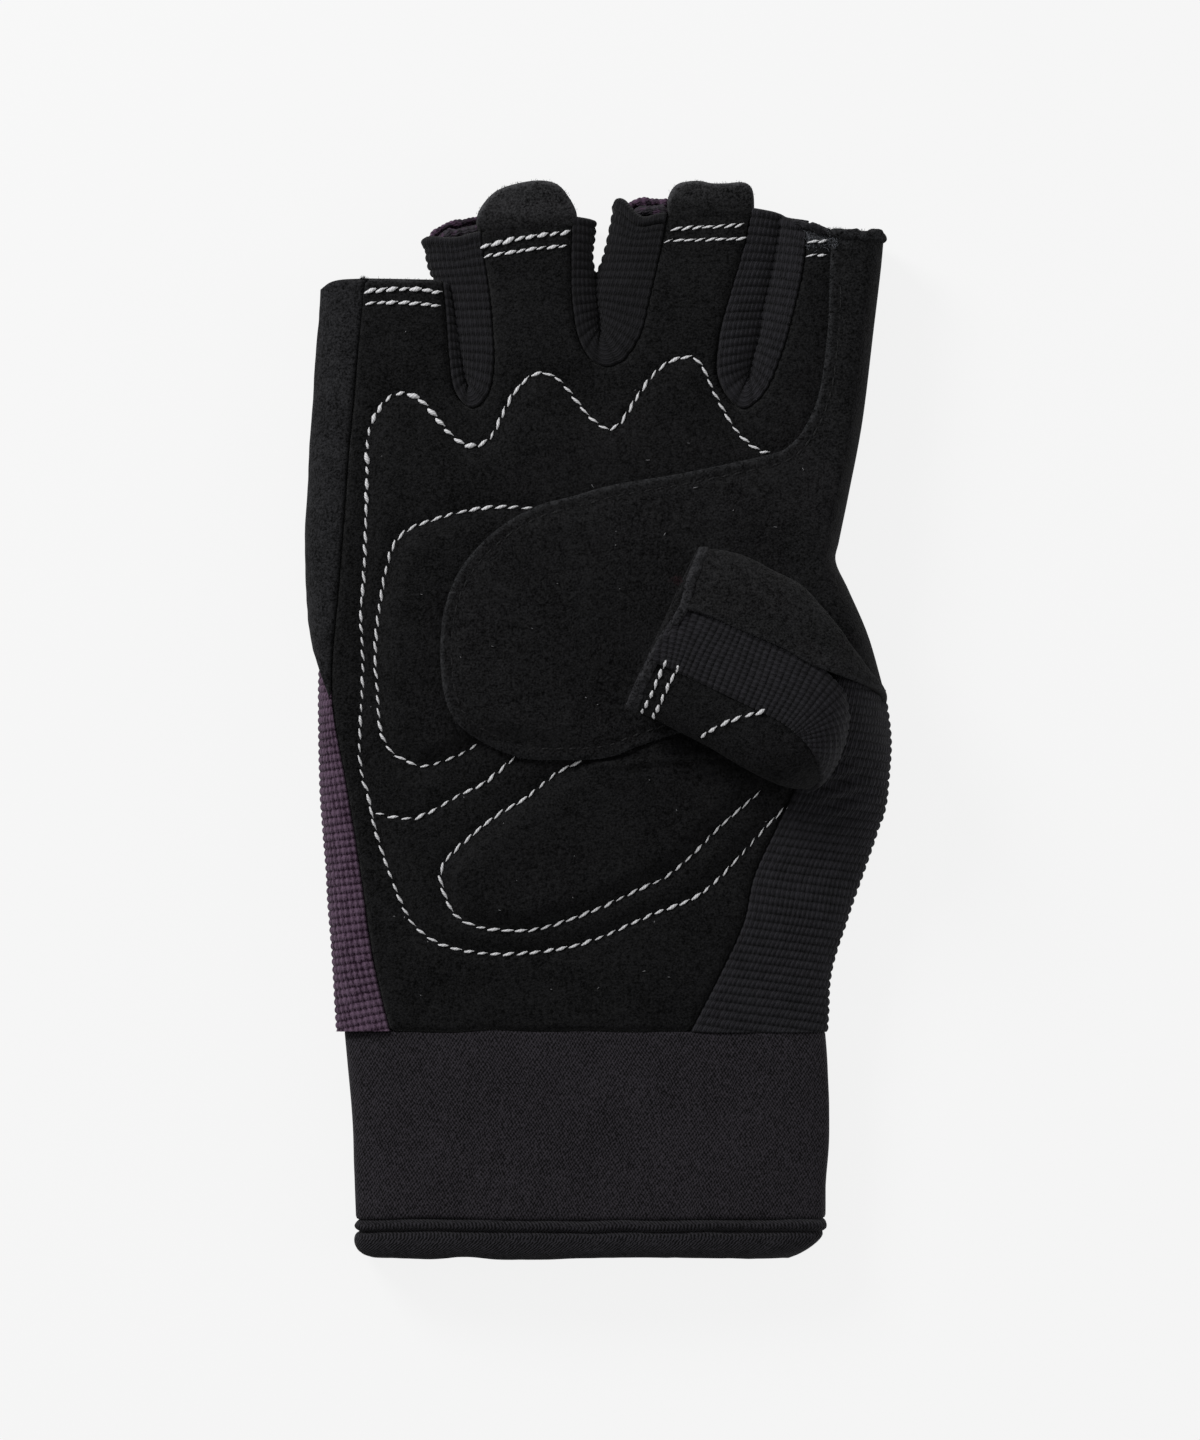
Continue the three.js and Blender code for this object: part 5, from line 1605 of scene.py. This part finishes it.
white_thread = thread_finish("white_thread", (0.52, 0.52, 0.53), 0.25)
black_thread = thread_finish("black_thread", (0.0065, 0.0065, 0.007), 0.1)
quilting = [palm_path(line) for line in (FIELD_LINE, FINGER_PAD_LINE, BRANCH_LINE)]
sew("quilting_stitches", quilting, 61, 1.07, tight_by_thumb)
sew("pad_stitches", [palm_path(line) for line in (WAVE_LINE, THUMB_PAD_LINE)], 64, 1.14, tight_by_thumb)
sew(
    "tip_stitches", [(*palm_path(line), thicker) for thicker, line in TIP_LINES], 62, 1.25,
    pitch=STITCH_PITCH * 0.84, slant=STITCH_SLANT * 1.2,
)
sew(
    "thumb_stitches", [thumb_path(line) for line in THUMB_LINES], 63, 1.05,
    pitch=STITCH_PITCH * 0.93, thread=THREAD * 1.18,
)
patch_tangent = unit(np.gradient(patch_cut, axis=0))
patch_inward = np.column_stack([-patch_tangent[:, 1], patch_tangent[:, 0]])
x, y = even_line((patch_cut + PATCH_SEAM_IN * patch_inward)[6:-3:4], 0.5).T
rise = palm_top(x, y) + PATCH_LIFT + patch_relief(x, y)[0]
patch_seam = np.column_stack([x, y, rise + 0.06])
sew(
    "patch_stitches", [(patch_seam, np.tile([0.0, 0.0, 1.0], (len(x), 1)))], 65, 0.85,
    thread=0.17, slant=0.1, finish=black_thread, slot="edge_thread",
)

# Fuzz and lint: loose fibres stand out along every cut edge and outer line of the suede, and
# a few light specks of lint lie on the palm.
HAIR_SIDES = 3


def hairs(name, roots, ways, lengths, thickness, finish, slot, rng):
    """One piece of many short, bent hairs, each a closed three-sided spike."""
    corner = np.arange(HAIR_SIDES) * 2 * np.pi / HAIR_SIDES
    points, faces = [], []
    for root, way, length in zip(roots, ways, lengths):
        way = unit(way)
        side = unit(np.cross(way, rng.normal(size=3)))
        other = np.cross(way, side)
        bend = side * length * rng.uniform(0.1, 0.4)
        base = len(points)
        for place, part in ((root - way * 0.1, 0.5), (root + way * length * 0.5 + bend * 0.3, 0.4)):
            for angle in corner:
                sideways = side * math.cos(angle) + other * math.sin(angle)
                points.append(place + thickness * part * sideways)
        points.append(root + way * length + bend)
        for j in range(HAIR_SIDES):
            k = (j + 1) % HAIR_SIDES
            faces.append((base + j, base + k, base + 3 + k, base + 3 + j))
            faces.append((base + 3 + j, base + 3 + k, base + 6))
        faces.append((base + 2, base + 1, base))
    dress(make_mesh(name, points, faces), finish, slot)


def fibre_finish(name, colour):
    """Loose fibres of one colour, some lighter than others."""
    material = new_material(name)
    place = add_node(material, "TexCoord").outputs["Object"]
    spread = noise(material, place, 900.0)
    tint = blend(material, spread, shade(colour, 0.4), shade(colour, 1.6))
    show_cloth(material, tint, spread, 0.01, 0.9, 0.02, 0.0)
    return material


def palm_edge(line, rise):
    """A line over the palm, lifted to where the cloth's edge is."""
    flat = even_line(line, 0.5)
    return np.column_stack([flat, palm_top(*flat.T) + rise])


patch_edge = np.column_stack([patch_cut, palm_top(*patch_cut.T) + 1.1])
little_tip_line = palm_edge([(-46.5, 76.7), (-41.0, 77.3), (-34.0, 77.3), (-27.5, 77.1)], -0.8)
HAIR_LINES = [
    (even_line(TIP_HEM[:4], 0.5) + (0, 0.6, 0), (0, 1, 0.3), 9, 0.6),
    (np.array([(40.3, 85.8, 11.9), (40.9, 85.8, 11.9)]), (-0.1, 1, 0.2), 24, 1.0),
    (np.array([(48.6, 85.4, 11.2), (50.0, 85.2, 10.2)]), (0.2, 1, 0.2), 14, 0.9),
    (little_tip_line, (0, 1, 0.3), 5, 0.5),
    (np.array([(-41.6, 77.2, 11.2), (-40.6, 77.3, 11.2)]), (0.2, 1, 0.3), 80, 1.1),
    (palm_edge(RING_TAB[1:-1], -1.2), (0, 1, 0.3), 4, 0.35),
    (palm_edge(MIDDLE_TAB[1:-1], -1.2), (0, 1, 0.3), 4, 0.35),
    (patch_edge[:90], (-0.6, 0.5, 0.5), 4, 0.45),
    (patch_edge[90:], (-0.3, -0.8, 0.5), 2, 0.4),
    (band_outer[0, :200], (-0.9, 0.1, 0.5), 14, 0.7),
    (band_outer[6, :200], (-0.6, 0.2, 0.8), 10, 0.5),
    (thumb_back_outer[:150, -1], (-0.2, -0.8, 0.6), 5, 0.45),
    (thumb_back_outer[:, 40], (0.3, 0.8, 0.5), 3, 0.4),
]
rng = np.random.default_rng(81)
roots, ways, lengths = [], [], []
for line, way, per_mm, longest in HAIR_LINES:
    run = run_along(line)
    spots = read_off(rng.uniform(0, run[-1], int(run[-1] * per_mm)), run, line)
    roots.append(spots + rng.normal(0, 0.12, spots.shape))
    ways.append(np.array(way) + rng.normal(0, 0.45, spots.shape))
    lengths.append(longest * rng.uniform(0.3, 1.0, len(spots)))
hairs(
    "suede_fuzz", np.concatenate(roots), np.concatenate(ways), np.concatenate(lengths), 0.07,
    fibre_finish("fuzz_fibres", (0.015, 0.015, 0.016)), "suede", rng,
)

x, y = rng.uniform(-42, 40, 55), rng.uniform(-50, 70, 55)
on_palm = depth_inside(x, y, palm_outline) > 1.5
x, y = x[on_palm], y[on_palm]
z = palm_top(x, y) + np.where(depth_inside(x, y, patch_outline) > 0, PATCH_LIFT, 0.0) + 0.15
ways = rng.normal(size=(len(x), 3)) * (1, 1, 0.15)
hairs(
    "lint", np.column_stack([x, y, z]), ways, 0.15 + 0.7 * rng.uniform(size=len(x)) ** 4, 0.13,
    fibre_finish("lint_fibres", (0.16, 0.16, 0.165)), "stitch_thread", rng,
)
roots = np.array([13.9, 24.4, 25.6]) + rng.normal(0, 0.35, (60, 3))
hairs(
    "lint_tuft", roots, rng.normal(size=(60, 3)) - (0.5, 0, 0), rng.uniform(0.4, 1.3, 60), 0.09,
    fibre_finish("tuft_fibres", (0.02, 0.012, 0.0135)), "suede", rng,
)
x, y = rng.uniform(36.6, 42.2, 260), 85.7 - 3.0 * rng.uniform(size=260) ** 1.4
z = palm_top(x, y) + (np.where(x > 40.6, PATCH_LIFT, 0.0) - 0.1)
ways = rng.normal(size=(260, 3)) * (1.0, 1.0, 0.3) + (0.1, 0.35, 0.35)
hairs(
    "seam_fray", np.column_stack([x, y, z]), ways, rng.uniform(0.3, 1.2, 260), 0.11,
    fibre_finish("fray_fibres", (0.062, 0.065, 0.072)), "suede", rng,
)
